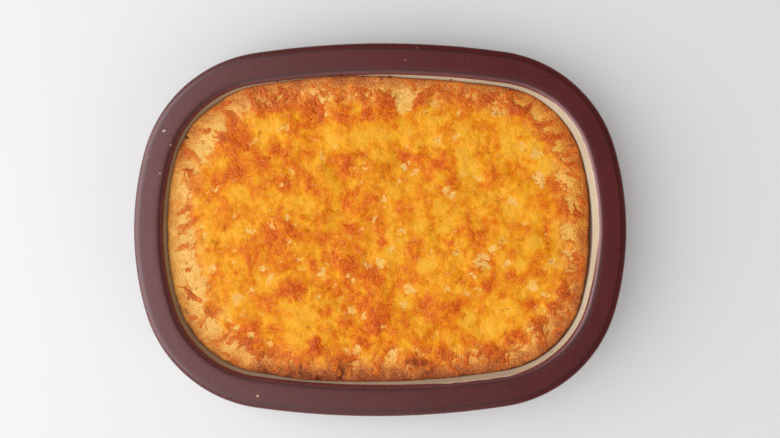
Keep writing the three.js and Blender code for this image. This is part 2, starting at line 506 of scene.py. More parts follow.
def blend(tree, factor, first, second, kind="MIX"):
    """first where factor is 0 and second where it is 1."""
    node = add(tree, "ShaderNodeMix", data_type="RGBA", blend_type=kind)
    for index, value in ((0, factor), (6, first), (7, second)):
        feed(node.inputs[index], value)
    return wire(node, 2)


def attribute(tree, name):
    return wire(add(tree, "ShaderNodeAttribute", attribute_name=name), "Fac")


def bump(tree, height, distance, strength=1.0, under=None):
    """A normal that tilts as if the surface rose by height times distance, in mm."""
    node = add(tree, "ShaderNodeBump", {"Height": height, "Distance": distance * MM, "Strength": strength})
    if under:
        feed(node.inputs["Normal"], under)
    return wire(node)


# %% [markdown]
# ## Glazed stoneware
# The rim and outside wear a deep plum glaze, glossy and a little uneven where it pooled. Inside, and under
# the foot, the clay is bare: a warm cream with fine dark iron specks and a dry, sandy surface. The glaze ends
# along a line that wanders slightly, where it thins out to a lighter mauve, and more of that mauve on the
# right is a painted highlight. Light and shade are painted in as well: the glaze's colour shifts on the
# window's side, two dark lines of painted shade follow the rim's creases, the left inner wall carries painted
# shade, and a dark band along the food's edge is baked-on residue and painted shadow of the gap.

# %% Stoneware finish
PLUM = tone(88, 20, 19)
PLUM_POOLED = tone(76, 15, 15)
# painted light: the glaze takes this colour on the window's side, where the window lights it
PLUM_PAINTED_WINDOW_SIDE = tone(84, 24, 18)
# lighter mauve where the glaze thins at its edge, also used as a painted highlight
PLUM_THIN_AND_LIT = tone(150, 92, 92)
# painted shade: dark lines along two creases of the rim
PLUM_CREASE_SHADE = tone(44, 10, 12)
CREASES = (-5.6, -20.2)  # mm before the glaze line, where dark lines of painted shade mark the rim's creases
CREASE_WIDTH = 1.1
CLAY = tone(216, 207, 180)
CLAY_SHADE = tone(200, 185, 154)
CLAY_PAINTED_SHADE = tone(146, 122, 92)  # painted shade on the left inner wall, which faces away from the window
RESIDUE_AND_GAP_SHADOW = tone(92, 56, 28)  # baked-on residue along the food's edge, and painted shadow in the gap to the wall
IRON = tone(150, 112, 80)


def stoneware_finish():
    material, tree, shader = new_finish("glazed stoneware", **{"IOR": 1.62, "Specular IOR Level": 0.5})
    broad = noise(tree, 38, 3)
    pooling = noise(tree, 9, 3)
    smudges = noise(tree, 3.2, 3)
    orange_peel = noise(tree, 2.6, 2)
    grain = noise(tree, 0.7, 3)
    specks = noise(tree, 1.9, 2)
    wander = (noise(tree, 7, 3) - 0.5) * 1.1 + (noise(tree, 1.6, 2) - 0.5) * 0.5
    across, upward, _ = parts(tree, object_place(tree))
    wiped_right = share(across, 0.105, 0.135) * share(upward, -0.045, -0.005)
    wiped_front = share(across, 0.0, 0.05) * share(across, 0.13, 0.1) * share(upward, -0.09, -0.11)
    lip = attribute(tree, "past_glaze") + wander
    past = lip + wiped_right * 3.2 + wiped_front * 3.0
    bare = share(past, -0.15, 0.35)
    thin_and_lit = share(past + (1 - wiped_right - wiped_front) * 1.9 + 1.7, -1.2, 0)
    # a dark band just above the food's edge: baked-on residue and painted shadow of the gap
    residue_and_gap_shadow = share(lip, 7.7, 9.0)
    # painted shade in the rim's creases
    crease_shade = 0
    for middle in CREASES:
        crease_shade = crease_shade + share(attribute(tree, "past_glaze"), middle - CREASE_WIDTH, middle) * share(
            attribute(tree, "past_glaze"), middle + CREASE_WIDTH, middle)

    glaze = blend(tree, share(broad * 0.6 + pooling * 0.4, 0.35, 0.7), PLUM_POOLED, PLUM)
    # painted light: towards the left the glaze shifts to its window-side colour
    glaze = blend(tree, share(across, 0.05, -0.17), glaze, PLUM_PAINTED_WINDOW_SIDE)
    glaze = blend(tree, crease_shade * 0.85, glaze, PLUM_CREASE_SHADE)
    # the thin glaze's edge, with more of it on the right as a painted highlight where the window lights the
    # inner lip
    glaze = blend(tree, thin_and_lit * (wiped_right * 0.45 + 0.2), glaze, PLUM_THIN_AND_LIT)
    clay = blend(tree, share(grain * 0.5 + broad * 0.5, 0.35, 0.65), CLAY_SHADE, CLAY)
    # painted shade on the left of the bare inner wall
    clay = blend(tree, share(across, -0.03, -0.14) * 0.6, clay, CLAY_PAINTED_SHADE)
    clay = blend(tree, residue_and_gap_shadow * 0.9, clay, RESIDUE_AND_GAP_SHADOW)
    clay = blend(tree, share(specks, 0.66, 0.74) * 0.55, clay, IRON)
    feed(shader.inputs["Base Color"], blend(tree, bare, glaze, clay))
    feed(shader.inputs["Roughness"], bare * 0.55 + 0.24 + smudges * 0.08)
    sandy = bump(tree, grain, 0.12, 0.5)
    feed(shader.inputs["Normal"], bump(tree, orange_peel * (1 - bare), 0.05, 0.4, sandy))
    return material


stoneware = stoneware_finish()

# %% Make the dish
STEPS_ROUND = 288


def glaze_run(points):
    """How far each section point lies past the nearest end of the glaze, in mm along the section."""
    spots = np.array(points)
    along = np.concatenate([[0], np.cumsum(np.hypot(*np.diff(spots, axis=0).T))])
    foot_line = along[len(underside) + 3]
    inner_line = along[points.index(glaze_line)]
    return np.maximum(foot_line - along, along - inner_line)


section_mesh = bpy.data.meshes.new("dish_section")
section_mesh.from_pydata([(length, 0, height) for length, height in section], [], [])
give(section_mesh, "past_glaze", glaze_run(section))
loft_values = {**FAMILY, "Steps round": STEPS_ROUND, "Section points": len(section), "Material": stoneware}
dish = run_tree("stoneware_dish", section_mesh, loft_tree(), loft_values)
face_outwards(dish)

# %% [markdown]
# ## A plan of the food
# The food's top is one uneven surface. Its hollows, browned blisters, shreds and bare patches are drawn on a
# plan, a fine grid of millimetres seen from above, with numpy. Both the bake and the cheese then read the
# same plan, for their height and for what their finishes show, so that one grows out of the other.

# %% Food outline
EDGE_NOTES = (  # spot on the dish's opening in the picture, height of the food's edge there, gap to the wall
    ((598, 229), 48.4, 1.3), ((600, 195), 49.6, 0.4), ((596, 160), 50.4, 0.3), ((566, 112), 51.2, 0.4),
    ((545, 97), 52.4, 0.3), ((500, 82), 53.4, 0.6), ((415, 74), 53.6, 0.4), ((388, 74), 57.0, 0.5),
    ((345, 74), 59.4, 0.1), ((300, 77), 58.4, 0.1), ((250, 85), 56.4, 0.1), ((229, 95), 54.6, 0.3),
    ((212, 104), 53.0, 0.9), ((197, 121), 55.0, 0.3), ((170, 170), 55.0, 0.3), ((163, 229), 53.6, 0.4),
    ((171, 300), 53.2, 0.4), ((196, 345), 52.2, 0.6), ((250, 378), 52.6, 0.4), ((272, 381), 54.4, 0.2),
    ((302, 384), 56.4, 0.1), ((335, 385), 55.4, 0.1), ((372, 385), 54.0, 0.1), ((420, 385), 53.6, 0.2),
    ((500, 377), 51.2, 0.2), ((560, 345), 49.8, 0.6), ((590, 290), 49.2, 0.5),
)
OUTLINE_STEPS = 1440
EDGE_BLUR = 28  # steps
turns = np.arange(OUTLINE_STEPS) / OUTLINE_STEPS
opening_x, opening_y = oval_point(np.full(OUTLINE_STEPS, OPENING["Opening length"]), turns, FAMILY)


def nearest_turn(spot):
    x, y = from_picture(*spot, GLAZE_STOP)
    return turns[np.argmin(np.hypot(opening_x - x, opening_y - y))]


def round_the_edge(values):
    """Values noted at EDGE_NOTES' spots, spread smoothly over all outline steps."""
    at = np.array([nearest_turn(spot) for spot, _, _ in EDGE_NOTES])
    order = np.argsort(at)
    spread = np.interp(turns, at[order], np.array(values)[order], period=1)
    weights = np.hanning(EDGE_BLUR + 2)[1:-1]
    padded = np.concatenate([spread[-EDGE_BLUR:], spread, spread[:EDGE_BLUR]])
    return np.convolve(padded, weights / weights.sum(), "same")[EDGE_BLUR:-EDGE_BLUR]


edge_height = round_the_edge([height for _, height, _ in EDGE_NOTES])
edge_gap = round_the_edge([gap for _, _, gap in EDGE_NOTES])
# Small seeded dents of the outline, from ten waves round it up to some two hundred
crumbly = np.random.default_rng(11).standard_normal(OUTLINE_STEPS)
spectrum = np.fft.rfft(crumbly)
rounds = np.arange(len(spectrum))
crumbly = np.fft.irfft(spectrum * np.exp(-((rounds / 130) ** 2)) * (rounds > 9), OUTLINE_STEPS)
crumbly /= crumbly.std()
edge_reach = inner_wall(edge_height) - edge_gap - 0.28 * np.maximum(crumbly + 0.4, 0)
edge_x, edge_y = oval_point(edge_reach, turns, FAMILY)
print("food outline x", edge_x.min().round(1), edge_x.max().round(1))
print("food outline y", edge_y.min().round(1), edge_y.max().round(1))

# %% Plan grid
CELL = 0.5
plan_x = np.arange(-172, 172 + CELL, CELL)
plan_y = np.arange(-126, 126 + CELL, CELL)
X, Y = np.meshgrid(plan_x, plan_y)
bearing_of_edge = np.unwrap(np.arctan2(edge_y, edge_x))
bearing = np.arctan2(Y, X)


def by_bearing(values):
    """Values round the outline, looked up for each plan cell by its direction from the middle."""
    return np.interp(bearing, bearing_of_edge, values, period=2 * math.pi)


edge_radius = by_bearing(np.hypot(edge_x, edge_y))
outwards = np.hypot(X, Y) / edge_radius  # 0 in the middle, 1 on the food's edge
from_edge = (1 - outwards) * edge_radius * 0.93  # mm


def cloud(size, seed, stretch=1.0):
    """Soft seeded unevenness, lumps of about this size in mm, longer along y by stretch. Spread 1, mean 0."""
    white = np.random.default_rng(seed).standard_normal(X.shape)
    across = np.fft.rfftfreq(X.shape[1], CELL)[None, :] * size
    up = np.fft.fftfreq(X.shape[0], CELL)[:, None] * size * stretch
    soft = np.fft.irfft2(np.fft.rfft2(white) * np.exp(-1.23 * (across**2 + up**2)), s=X.shape)
    return soft / soft.std()


def smooth(value, low, high):
    """0 below low, 1 above high, with an easy curve between."""
    part = np.clip((value - low) / (high - low), 0, 1)
    return part * part * (3 - 2 * part)


WARP = 0.9  # mm, how far drawn marks wander from their plain shapes
warped_x = X + WARP * cloud(5, 21) + 0.5 * WARP * cloud(2, 22)
warped_y = Y + WARP * cloud(5, 23) + 0.5 * WARP * cloud(2, 24)


def window(points, margin):
    """Rows and columns of the plan that hold these points with a margin."""
    low = points.min(0) - margin
    high = points.max(0) + margin
    columns = slice(*np.searchsorted(plan_x, (low[0], high[0])))
    rows = slice(*np.searchsorted(plan_y, (low[1], high[1])))
    return rows, columns


def draw_line(field, points, width, strength):
    """A ridge along a line of points, in mm, with this half width and height. The highest mark wins."""
    points = np.asarray(points, float)
    where = window(points, 3 * width + 3)
    x, y = warped_x[where], warped_y[where]
    nearest = np.full(x.shape, 1e9)
    for (ax, ay), (bx, by) in zip(points, points[1:]):
        length = (bx - ax) ** 2 + (by - ay) ** 2
        along = np.clip(((x - ax) * (bx - ax) + (y - ay) * (by - ay)) / length, 0, 1)
        nearest = np.minimum(nearest, (x - ax - along * (bx - ax)) ** 2 + (y - ay - along * (by - ay)) ** 2)
    field[where] = np.maximum(field[where], strength * np.exp(-nearest / width**2))


def draw_spot(field, centre, radius, strength, hard=2.0):
    """A round mark, in mm. A higher hard gives it a flatter top and a steeper edge."""
    centre = np.asarray(centre, float)
    where = window(centre[None], 2.5 * radius + 3)
    distance = np.hypot(warped_x[where] - centre[0], warped_y[where] - centre[1])
    field[where] = np.maximum(field[where], strength * np.exp(-((distance / radius) ** hard)))


print("plan has", X.size, "cells")

# %% [markdown]
# ## Browned cheese
# Under the grill the raised shreds toast first: pale orange, then rust, and dark red-brown on the peaks. The
# marks are placed from the picture, as spots, streaks and the wide pools between them that stayed
# yellow. Hundreds of small shreds fall where chance puts them, more of them where the top is browned.

# %% Browned spots and streaks from the picture
BROWN_SPOTS = {  # radius in the picture and strength: the marks' places there
    (14, 0.5): ((330, 110),),
    (14, 0.4): ((280, 250), (300, 360), (352, 340)),
    (14, 0.35): ((400, 340),),
    (14, 0.2): ((225, 215),),
    (13, 0.65): ((276, 243), (346, 262)),
    (12, 0.4): ((250, 345), (325, 268)),
    (12, 0.25): ((320, 240), (480, 268)),
    (12, 0.2): ((400, 280),),
    (10, 1.0): ((315, 108), (328, 287)),
    (10, 0.5): ((430, 352),),
    (10, 0.4): ((300, 350), (378, 290), (435, 305), (550, 198), (550, 300)),
    (9, 1.0): ((294, 289), (377, 326)),
    (9, 0.9): ((419, 362),),
    (9, 0.6): ((270, 103), (545, 322)),
    (9, 0.4): ((365, 178),),
    (9, 0.35): ((362, 235),),
    (9, 0.3): ((505, 182),),
    (8, 1.0): ((342, 114),),
    (8, 0.9): ((443, 352), (553, 306), (563, 291)),
    (8, 0.85): ((377, 284),),
    (8, 0.7): ((237, 144),),
    (8, 0.6): ((385, 310), (385, 332)),
    (8, 0.5): ((305, 217), (560, 305)),
    (8, 0.4): ((372, 320),),
    (8, 0.3): ((245, 215),),
    (7, 1.0): ((383, 237),),
    (7, 0.9): ((267, 357), (275, 149), (362, 212), (386, 106), (521, 113)),
    (7, 0.85): ((430, 302),),
    (7, 0.8): ((308, 179),),
    (7, 0.6): ((293, 132), (352, 357), (510, 118)),
    (7, 0.5): ((266, 300), (404, 213)),
    (7, 0.45): ((474, 231),),
    (6, 1.0): ((262, 163), (316, 347), (352, 264), (490, 97), (556, 138)),
    (6, 0.95): ((408, 246), (488, 350), (563, 207)),
    (6, 0.9): ((290, 228), (367, 115), (537, 324)),
    (6, 0.85): ((487, 285),),
    (6, 0.8): ((288, 92), (345, 164), (352, 203), (389, 116)),
    (6, 0.7): ((289, 255), (536, 268)),
    (6, 0.6): ((233, 104), (357, 157), (469, 104)),
    (6, 0.5): ((306, 357), (332, 335), (375, 205), (455, 305)),
    (6, 0.45): ((198, 189),),
    (6, 0.4): ((233, 172), (248, 202), (275, 200)),
    (5, 0.95): ((532, 305),),
    (5, 0.9): ((327, 353), (352, 228), (502, 357), (522, 337), (578, 210)),
    (5, 0.8): ((277, 217), (297, 235), (330, 305), (344, 322), (351, 297), (420, 101), (512, 104),
        (575, 262)),
    (5, 0.7): ((192, 297), (254, 326), (261, 360), (272, 331), (287, 187), (345, 308), (364, 304),
        (463, 365), (537, 126)),
    (5, 0.65): ((416, 257),),
    (5, 0.6): ((197, 330), (211, 312), (229, 152), (283, 361), (296, 192), (313, 262), (341, 357),
        (349, 192), (366, 345), (409, 350), (418, 157), (480, 103), (571, 163)),
    (5, 0.55): ((492, 172), (509, 278)),
    (5, 0.5): ((217, 248), (264, 229), (281, 191), (317, 172), (404, 324), (433, 165), (447, 327),
        (456, 183)),
    (4, 0.8): ((449, 243), (510, 342)),
    (4, 0.6): ((281, 209), (402, 157), (475, 345), (501, 295)),
    (4, 0.5): ((191, 172), (411, 118), (420, 194), (491, 156)),
    (4, 0.45): ((434, 322),),
    (4, 0.4): ((217, 217), (225, 181), (437, 114), (447, 170), (478, 127), (480, 154)),
    (4, 0.2): ((401, 205),),
}
BROWN_STREAKS = (  # points in the picture, half width in mm, strength
    (((246, 89), (253, 101), (262, 114)), 2.5, 0.85), (((262, 87), (267, 96)), 1.9, 0.8),
    (((280, 88), (287, 97)), 1.9, 0.85), (((300, 91), (300, 101)), 0.9, 0.75),
    (((213, 112), (224, 105), (233, 101)), 1.6, 0.7), (((202, 131), (208, 132)), 2.0, 0.75),
    (((213, 139), (227, 137)), 1.2, 0.75), (((214, 145), (228, 143)), 1.2, 0.65),
    (((270, 99), (276, 97)), 2.6, 0.8), (((378, 90), (386, 99)), 1.5, 0.6),
    (((410, 83), (416, 92)), 1.4, 0.6), (((474, 88), (480, 94)), 1.4, 0.6),
    (((563, 156), (579, 149)), 1.7, 0.8), (((533, 127), (554, 121)), 1.7, 0.75),
    (((569, 220), (576, 224)), 1.4, 0.7), (((205, 307), (213, 316)), 1.5, 0.6),
    (((196, 338), (206, 343)), 1.5, 0.6), (((222, 352), (231, 357)), 1.4, 0.6),
    (((552, 334), (562, 327)), 1.5, 0.6), (((512, 352), (522, 347)), 1.5, 0.6),
    (((575, 292), (570, 302)), 1.6, 0.7), (((447, 366), (455, 370)), 1.4, 0.6),
    (((290, 112), (293, 119), (301, 127), (321, 125)), 2.6, 0.9), (((322, 104), (322, 122)), 2.6, 0.9),
    (((362, 92), (366, 116)), 2.6, 0.9), (((353, 90), (369, 91)), 1.8, 0.8),
    (((234, 118), (235, 131)), 2.0, 0.85), (((222, 111), (234, 119)), 1.6, 0.7),
    (((246, 112), (244, 127)), 1.8, 0.7), (((220, 137), (233, 141), (243, 150)), 2.2, 0.7),
    (((287, 135), (290, 152)), 2.8, 0.55), (((350, 158), (345, 168), (351, 178)), 2.4, 0.7),
    (((298, 216), (312, 221)), 2.4, 0.65), (((441, 83), (429, 92), (420, 99), (413, 106)), 1.9, 0.85),
    (((438, 88), (448, 94), (465, 99)), 1.7, 0.8), (((450, 85), (454, 94)), 1.5, 0.8),
    (((460, 82), (462, 93)), 1.5, 0.7), (((484, 102), (498, 93)), 2.2, 0.9),
    (((514, 91), (504, 96)), 1.5, 0.7), (((510, 99), (513, 112), (525, 110), (531, 105)), 2.2, 0.9),
    (((537, 127), (556, 123)), 1.8, 0.7), (((565, 133), (552, 139), (545, 139)), 2.3, 0.95),
    (((395, 160), (408, 155), (424, 157), (436, 166), (449, 171)), 2.0, 0.3),
    (((506, 166), (513, 175), (522, 184)), 2.6, 0.3), (((190, 150), (200, 163)), 2.2, 0.7),
    (((183, 146), (190, 156)), 2.6, 0.8), (((184, 170), (192, 172)), 1.5, 0.6),
    (((566, 152), (578, 150)), 1.5, 0.7), (((568, 163), (578, 167)), 1.7, 0.75),
    (((565, 173), (580, 178)), 1.7, 0.75), (((578, 196), (584, 204)), 1.8, 0.85),
    (((572, 210), (582, 215)), 1.8, 0.85), (((177, 215), (186, 210), (194, 207)), 1.8, 0.75),
    (((197, 218), (189, 225), (182, 230)), 2.4, 0.85), (((178, 249), (186, 246), (194, 244)), 2.2, 0.8),
    (((247, 248), (250, 262), (252, 280)), 2.4, 0.8), (((222, 272), (223, 286), (226, 300)), 1.8, 0.4),
    (((243, 250), (250, 257)), 1.6, 0.6), (((468, 236), (474, 242), (481, 247)), 2.1, 0.85),
    (((568, 241), (576, 244)), 1.5, 0.65), (((574, 255), (582, 258), (580, 270), (577, 281)), 2.2, 0.9),
    (((565, 283), (564, 300)), 2.6, 0.9), (((493, 274), (487, 288)), 2.0, 0.7),
    (((187, 288), (193, 296), (204, 302)), 2.2, 0.8),
    (((215, 343), (224, 337), (229, 330), (224, 320)), 2.0, 0.85),
    (((229, 342), (237, 335), (245, 328)), 1.7, 0.75), (((189, 317), (197, 318)), 1.7, 0.6),
    (((246, 337), (250, 349), (258, 353), (270, 351)), 1.9, 0.75), (((230, 360), (240, 361)), 1.8, 0.6),
    (((376, 314), (377, 337)), 2.6, 0.9), (((357, 337), (358, 345)), 1.7, 0.6),
    (((315, 339), (317, 352)), 2.0, 0.95), (((364, 348), (371, 344)), 1.5, 0.6),
    (((334, 358), (347, 357)), 1.9, 0.7), (((370, 364), (375, 355)), 1.3, 0.75),
    (((384, 352), (379, 364), (377, 374)), 1.7, 0.85), (((407, 362), (429, 361)), 2.2, 1.0),
    (((428, 361), (435, 369)), 1.8, 1.0), (((466, 350), (466, 367)), 1.9, 0.7),
    (((477, 356), (486, 348), (501, 352), (503, 360), (499, 368)), 1.9, 0.9),
    (((521, 331), (522, 343)), 1.9, 0.8), (((532, 318), (541, 331), (541, 337)), 1.8, 0.85),
    (((532, 331), (541, 327)), 1.4, 0.8), (((568, 310), (571, 318)), 1.8, 0.8),
    (((546, 305), (562, 307)), 2.2, 0.85), (((288, 360), (289, 372)), 1.2, 0.7),
    (((339, 360), (340, 372)), 1.2, 0.7), (((438, 346), (445, 358)), 2.4, 0.8),
    (((236, 115), (222, 111)), 1.4, 0.6),
)
PX = 0.77  # mm on the food for one step of the picture
BROWN_SPREAD = 1.45  # how much wider than noted the soft marks are drawn
PALE_SPREAD = 1.14
PALE_HARDNESS = 2.6
BRIGHT_SPREAD = 1.2


def spots_on_plan(marks, scale=1.0, hard=2.0):
    """A field with these marks on it. Each entry has a radius, a strength and the places that share them."""
    field = np.zeros(X.shape)
    for (radius, strength), places in marks.items():
        for place in places:
            draw_spot(field, from_picture(*place), radius * PX * scale, strength, hard)
    return field


browned = spots_on_plan(BROWN_SPOTS, BROWN_SPREAD)
streaks = np.zeros(X.shape)
for line, half_width, strength in BROWN_STREAKS:
    draw_line(streaks, [from_picture(*spot) for spot in line], half_width, strength)
print("streaks:", len(BROWN_STREAKS), "browned share:", round(float((browned > 0.5).mean()), 2))

# %% Bare patches, bright pools and pits from the picture
PALE_SPOTS = {  # where the batter shows through the cheese
    (11, 0.9): ((404, 98),),
    (10, 1.0): ((205, 145),),
    (9, 0.8): ((211, 326),),
    (8, 0.95): ((564, 178),),
    (8, 0.9): ((188, 240), (190, 258), (192, 272), (201, 285)),
    (8, 0.8): ((497, 110),),
    (7, 1.0): ((482, 259), (567, 232)),
    (7, 0.95): ((183, 218),),
    (7, 0.9): ((392, 355), (540, 179), (573, 204)),
    (7, 0.8): ((404, 108),),
    (7, 0.7): ((325, 99),),
    (7, 0.6): ((320, 92), (435, 103), (539, 113)),
    (7, 0.5): ((300, 95),),
    (7, 0.4): ((272, 127),),
    (6, 0.9): ((212, 138), (237, 298), (410, 289)),
    (6, 0.8): ((246, 362), (546, 127), (557, 146)),
    (6, 0.7): ((196, 142), (198, 310), (229, 349), (519, 350)),
    (6, 0.6): ((205, 297), (222, 128), (246, 105), (546, 117)),
    (5, 0.9): ((205, 161), (321, 273), (380, 262), (475, 350), (532, 287), (566, 255)),
    (5, 0.8): ((213, 269), (252, 232), (270, 342), (348, 351), (467, 94), (494, 250), (536, 153),
        (567, 158)),
    (5, 0.7): ((238, 343), (272, 277), (275, 225), (284, 129), (385, 365), (446, 192)),
    (5, 0.6): ((255, 142), (373, 100), (392, 248), (420, 353), (513, 202), (516, 358), (540, 310),
        (540, 345), (551, 262)),
    (5, 0.5): ((188, 175), (188, 196), (204, 225), (207, 204), (493, 358)),
    (5, 0.35): ((552, 325), (560, 315)),
    (4, 0.9): ((287, 217), (404, 305), (438, 141)),
    (4, 0.8): ((290, 241), (350, 277), (352, 311), (357, 350), (383, 198), (405, 166), (415, 173),
        (452, 195), (456, 136), (471, 359), (487, 269)),
    (4, 0.7): ((214, 189), (250, 334), (263, 268), (292, 171), (300, 259), (326, 113), (352, 97),
        (401, 232), (445, 88), (455, 253), (472, 275), (503, 242), (507, 262), (544, 294), (567, 268)),
    (4, 0.6): ((206, 236), (228, 320), (235, 326), (245, 315), (250, 289), (263, 314), (302, 269),
        (323, 157), (365, 168), (365, 315), (367, 265), (368, 355), (374, 220), (446, 289), (460, 357),
        (467, 293), (478, 178), (478, 290), (522, 146)),
    (4, 0.5): ((235, 264), (268, 211), (280, 262), (362, 186), (363, 228), (383, 327), (404, 146),
        (427, 109), (434, 148), (455, 232), (457, 345), (458, 113), (463, 174), (506, 104), (520, 102),
        (526, 223), (528, 327), (534, 208), (573, 287)),
    (4, 0.4): ((235, 216), (237, 250), (328, 367), (421, 309), (569, 307)),
    (3, 0.8): ((283, 183),),
    (3, 0.6): ((335, 146), (355, 168), (430, 252), (480, 97), (489, 330), (546, 232)),
    (3, 0.5): ((296, 226), (319, 297), (329, 262), (336, 285), (339, 296), (398, 182), (429, 200),
        (544, 267)),
    (3, 0.4): ((308, 169), (315, 232), (338, 237), (357, 197), (374, 303), (397, 284), (412, 241),
        (436, 335), (444, 180), (502, 193), (506, 318), (526, 210)),
}
BRIGHT_SPOTS = {  # smooth yellow pools of cheese that didn't brown
    (14, 1.0): ((404, 135),),
    (13, 0.8): ((430, 268),),
    (12, 0.9): ((270, 124),),
    (12, 0.7): ((450, 262),),
    (12, 0.6): ((530, 222),),
    (11, 1.0): ((297, 325),),
    (11, 0.6): ((308, 201),),
    (10, 1.0): ((490, 325),),
    (10, 0.7): ((530, 228),),
    (10, 0.6): ((325, 200),),
    (10, 0.4): ((390, 186),),
    (9, 0.9): ((205, 197), (310, 310)),
    (9, 0.8): ((328, 140), (380, 137)),
    (9, 0.7): ((515, 208), (528, 143)),
    (9, 0.6): ((205, 185),),
    (9, 0.5): ((395, 250),),
    (9, 0.4): ((330, 225),),
    (8, 0.8): ((470, 170), (505, 139), (508, 306)),
    (8, 0.7): ((184, 236), (285, 308), (318, 321), (447, 284), (472, 320)),
    (8, 0.6): ((338, 210), (360, 139), (379, 195), (540, 160), (545, 162)),
    (8, 0.5): ((206, 172), (213, 190), (265, 140), (338, 205), (445, 232), (480, 205), (548, 260)),
    (8, 0.4): ((540, 245),),
    (8, 0.3): ((245, 190),),
    (7, 1.0): ((420, 325),),
    (7, 0.7): ((440, 205), (465, 132)),
    (7, 0.6): ((434, 148), (522, 247)),
    (7, 0.5): ((232, 228), (236, 262), (280, 132), (366, 188), (406, 200)),
    (7, 0.4): ((257, 212), (332, 178), (405, 345)),
    (6, 0.8): ((297, 340), (463, 152)),
    (6, 0.7): ((481, 180),),
    (6, 0.6): ((304, 143), (446, 224), (565, 266)),
    (6, 0.5): ((240, 333), (263, 318)),
    (6, 0.3): ((225, 165),),
}
PIT_RADIUS = 1.3
PITS = (  # small holes where steam came out, painted dark as the shade in them
    (187, 138), (244, 106), (261, 134), (451, 124), (428, 112), (543, 106), (544, 232), (562, 225),
    (495, 113), (502, 113), (232, 211), (361, 155), (337, 211), (331, 210), (422, 149), (389, 167),
    (363, 156), (478, 154), (489, 154), (524, 151), (487, 204), (218, 241), (213, 242), (226, 229),
    (212, 285), (188, 262), (198, 286), (309, 231), (327, 231), (308, 291), (354, 293), (429, 225),
    (441, 222), (432, 230), (429, 282), (456, 252), (437, 268), (458, 280), (548, 245), (524, 239),
    (537, 282), (551, 261), (320, 310), (309, 327), (409, 323), (464, 315), (413, 334), (519, 354),
    (471, 324), (547, 331), (507, 309), (506, 332), (203, 142), (197, 157), (296, 175), (286, 185),
    (273, 217), (399, 312), (275, 324), (268, 339), (252, 336), (320, 377), (183, 147), (185, 153),
    (255, 94), (272, 90), (300, 86), (510, 173), (522, 183),
)
BURNT_SPOTS = {  # nearly black places of the crust and of the cheese
    (4, 0.5): ((311, 374),),
    (4, 0.45): ((344, 368),),
    (4, 0.35): ((316, 113),),
    (4, 0.3): ((389, 78),),
    (3.5, 0.7): ((416, 362),),
    (3, 0.6): ((265, 370), (290, 375), (409, 361), (424, 362), (432, 369)),
    (3, 0.4): ((183, 146), (287, 369), (321, 119), (337, 362), (351, 364), (497, 361)),
    (3, 0.3): ((306, 371), (377, 332), (564, 296)),
    (2.2, 1.0): ((320, 378),),
}
# Cracks join the burnt places' field and are painted nearly black, as the shade in them.
CRACKS = (  # points in the picture, half width in mm, strength
    (((302, 365), (302, 372), (303, 378)), 0.8, 0.9), (((341, 364), (342, 371), (341, 378)), 0.9, 0.9),
    (((514, 352), (524, 356)), 0.6, 0.7), (((180, 306), (187, 312)), 0.7, 0.7),
    (((279, 366), (285, 373)), 0.7, 0.5), (((318, 370), (330, 374)), 0.7, 0.4),
    (((208, 306), (212, 311)), 0.6, 0.5), (((203, 141), (205, 143)), 0.4, 0.5),
)

pale = spots_on_plan(PALE_SPOTS, PALE_SPREAD, PALE_HARDNESS)
bright = spots_on_plan(BRIGHT_SPOTS, BRIGHT_SPREAD)
pits = spots_on_plan({(PIT_RADIUS, 1.0): PITS})
burnt_and_crack_shade = spots_on_plan(BURNT_SPOTS)
# the cracks are painted shade, drawn with the burnt places
for line, half_width, strength in CRACKS:
    draw_line(burnt_and_crack_shade, [from_picture(*spot) for spot in line], half_width, strength)
print("pits:", len(PITS), "pale share:", round(float((pale > 0.5).mean()), 3))

# %% Cover, browning and toasting
CRUST_BAND = (  # a spot near the food's edge in the picture, and how wide the bare crust is there, in mm
    ((585, 229), 15), ((575, 150), 14), ((530, 95), 14), ((450, 80), 11), ((400, 80), 14), ((330, 80), 12),
    ((270, 85), 15), ((215, 112), 18), ((180, 160), 15), ((172, 205), 13), ((170, 240), 18),
    ((178, 300), 19), ((200, 340), 17), ((255, 370), 14), ((330, 377), 12), ((420, 377), 12),
    ((480, 372), 13), ((530, 355), 17), ((565, 325), 16), ((583, 280), 11),
)
band_x, band_y = from_picture(*np.array([spot for spot, _ in CRUST_BAND]).T)
band_bearing = np.arctan2(band_y, band_x)
band_order = np.argsort(band_bearing)
band_width = np.array([width for _, width in CRUST_BAND])[band_order]
crust_width = np.interp(bearing, band_bearing[band_order], band_width, period=2 * math.pi)

ragged = 2.2 * cloud(9, 51) + 1.6 * cloud(3.2, 52) + 1.0 * cloud(1.6, 57)
cover = smooth(from_edge + ragged + 3 * streaks, crust_width - 6, crust_width + 4)
torn = smooth(pale * (1 + 0.3 * cloud(2.6, 56) + 0.2 * cloud(1.3, 60)), 0.2, 0.85)
lone_shreds = smooth(streaks, 0.25, 0.6)
film = np.clip(np.maximum(cover, lone_shreds) * 1.05 - 1.35 * torn, 0, 1)
brown = 0.33 + 0.4 * browned + 0.2 * streaks - 0.25 * bright
thin_rim = 1 - smooth(from_edge + ragged, crust_width - 2, crust_width + 10)
brown = brown + (0.24 - 0.1 * smooth(-X, 100, 140)) * thin_rim
brown = np.clip(brown + 0.08 * cloud(15, 59) + 0.06 * cloud(6, 54), 0, 1)

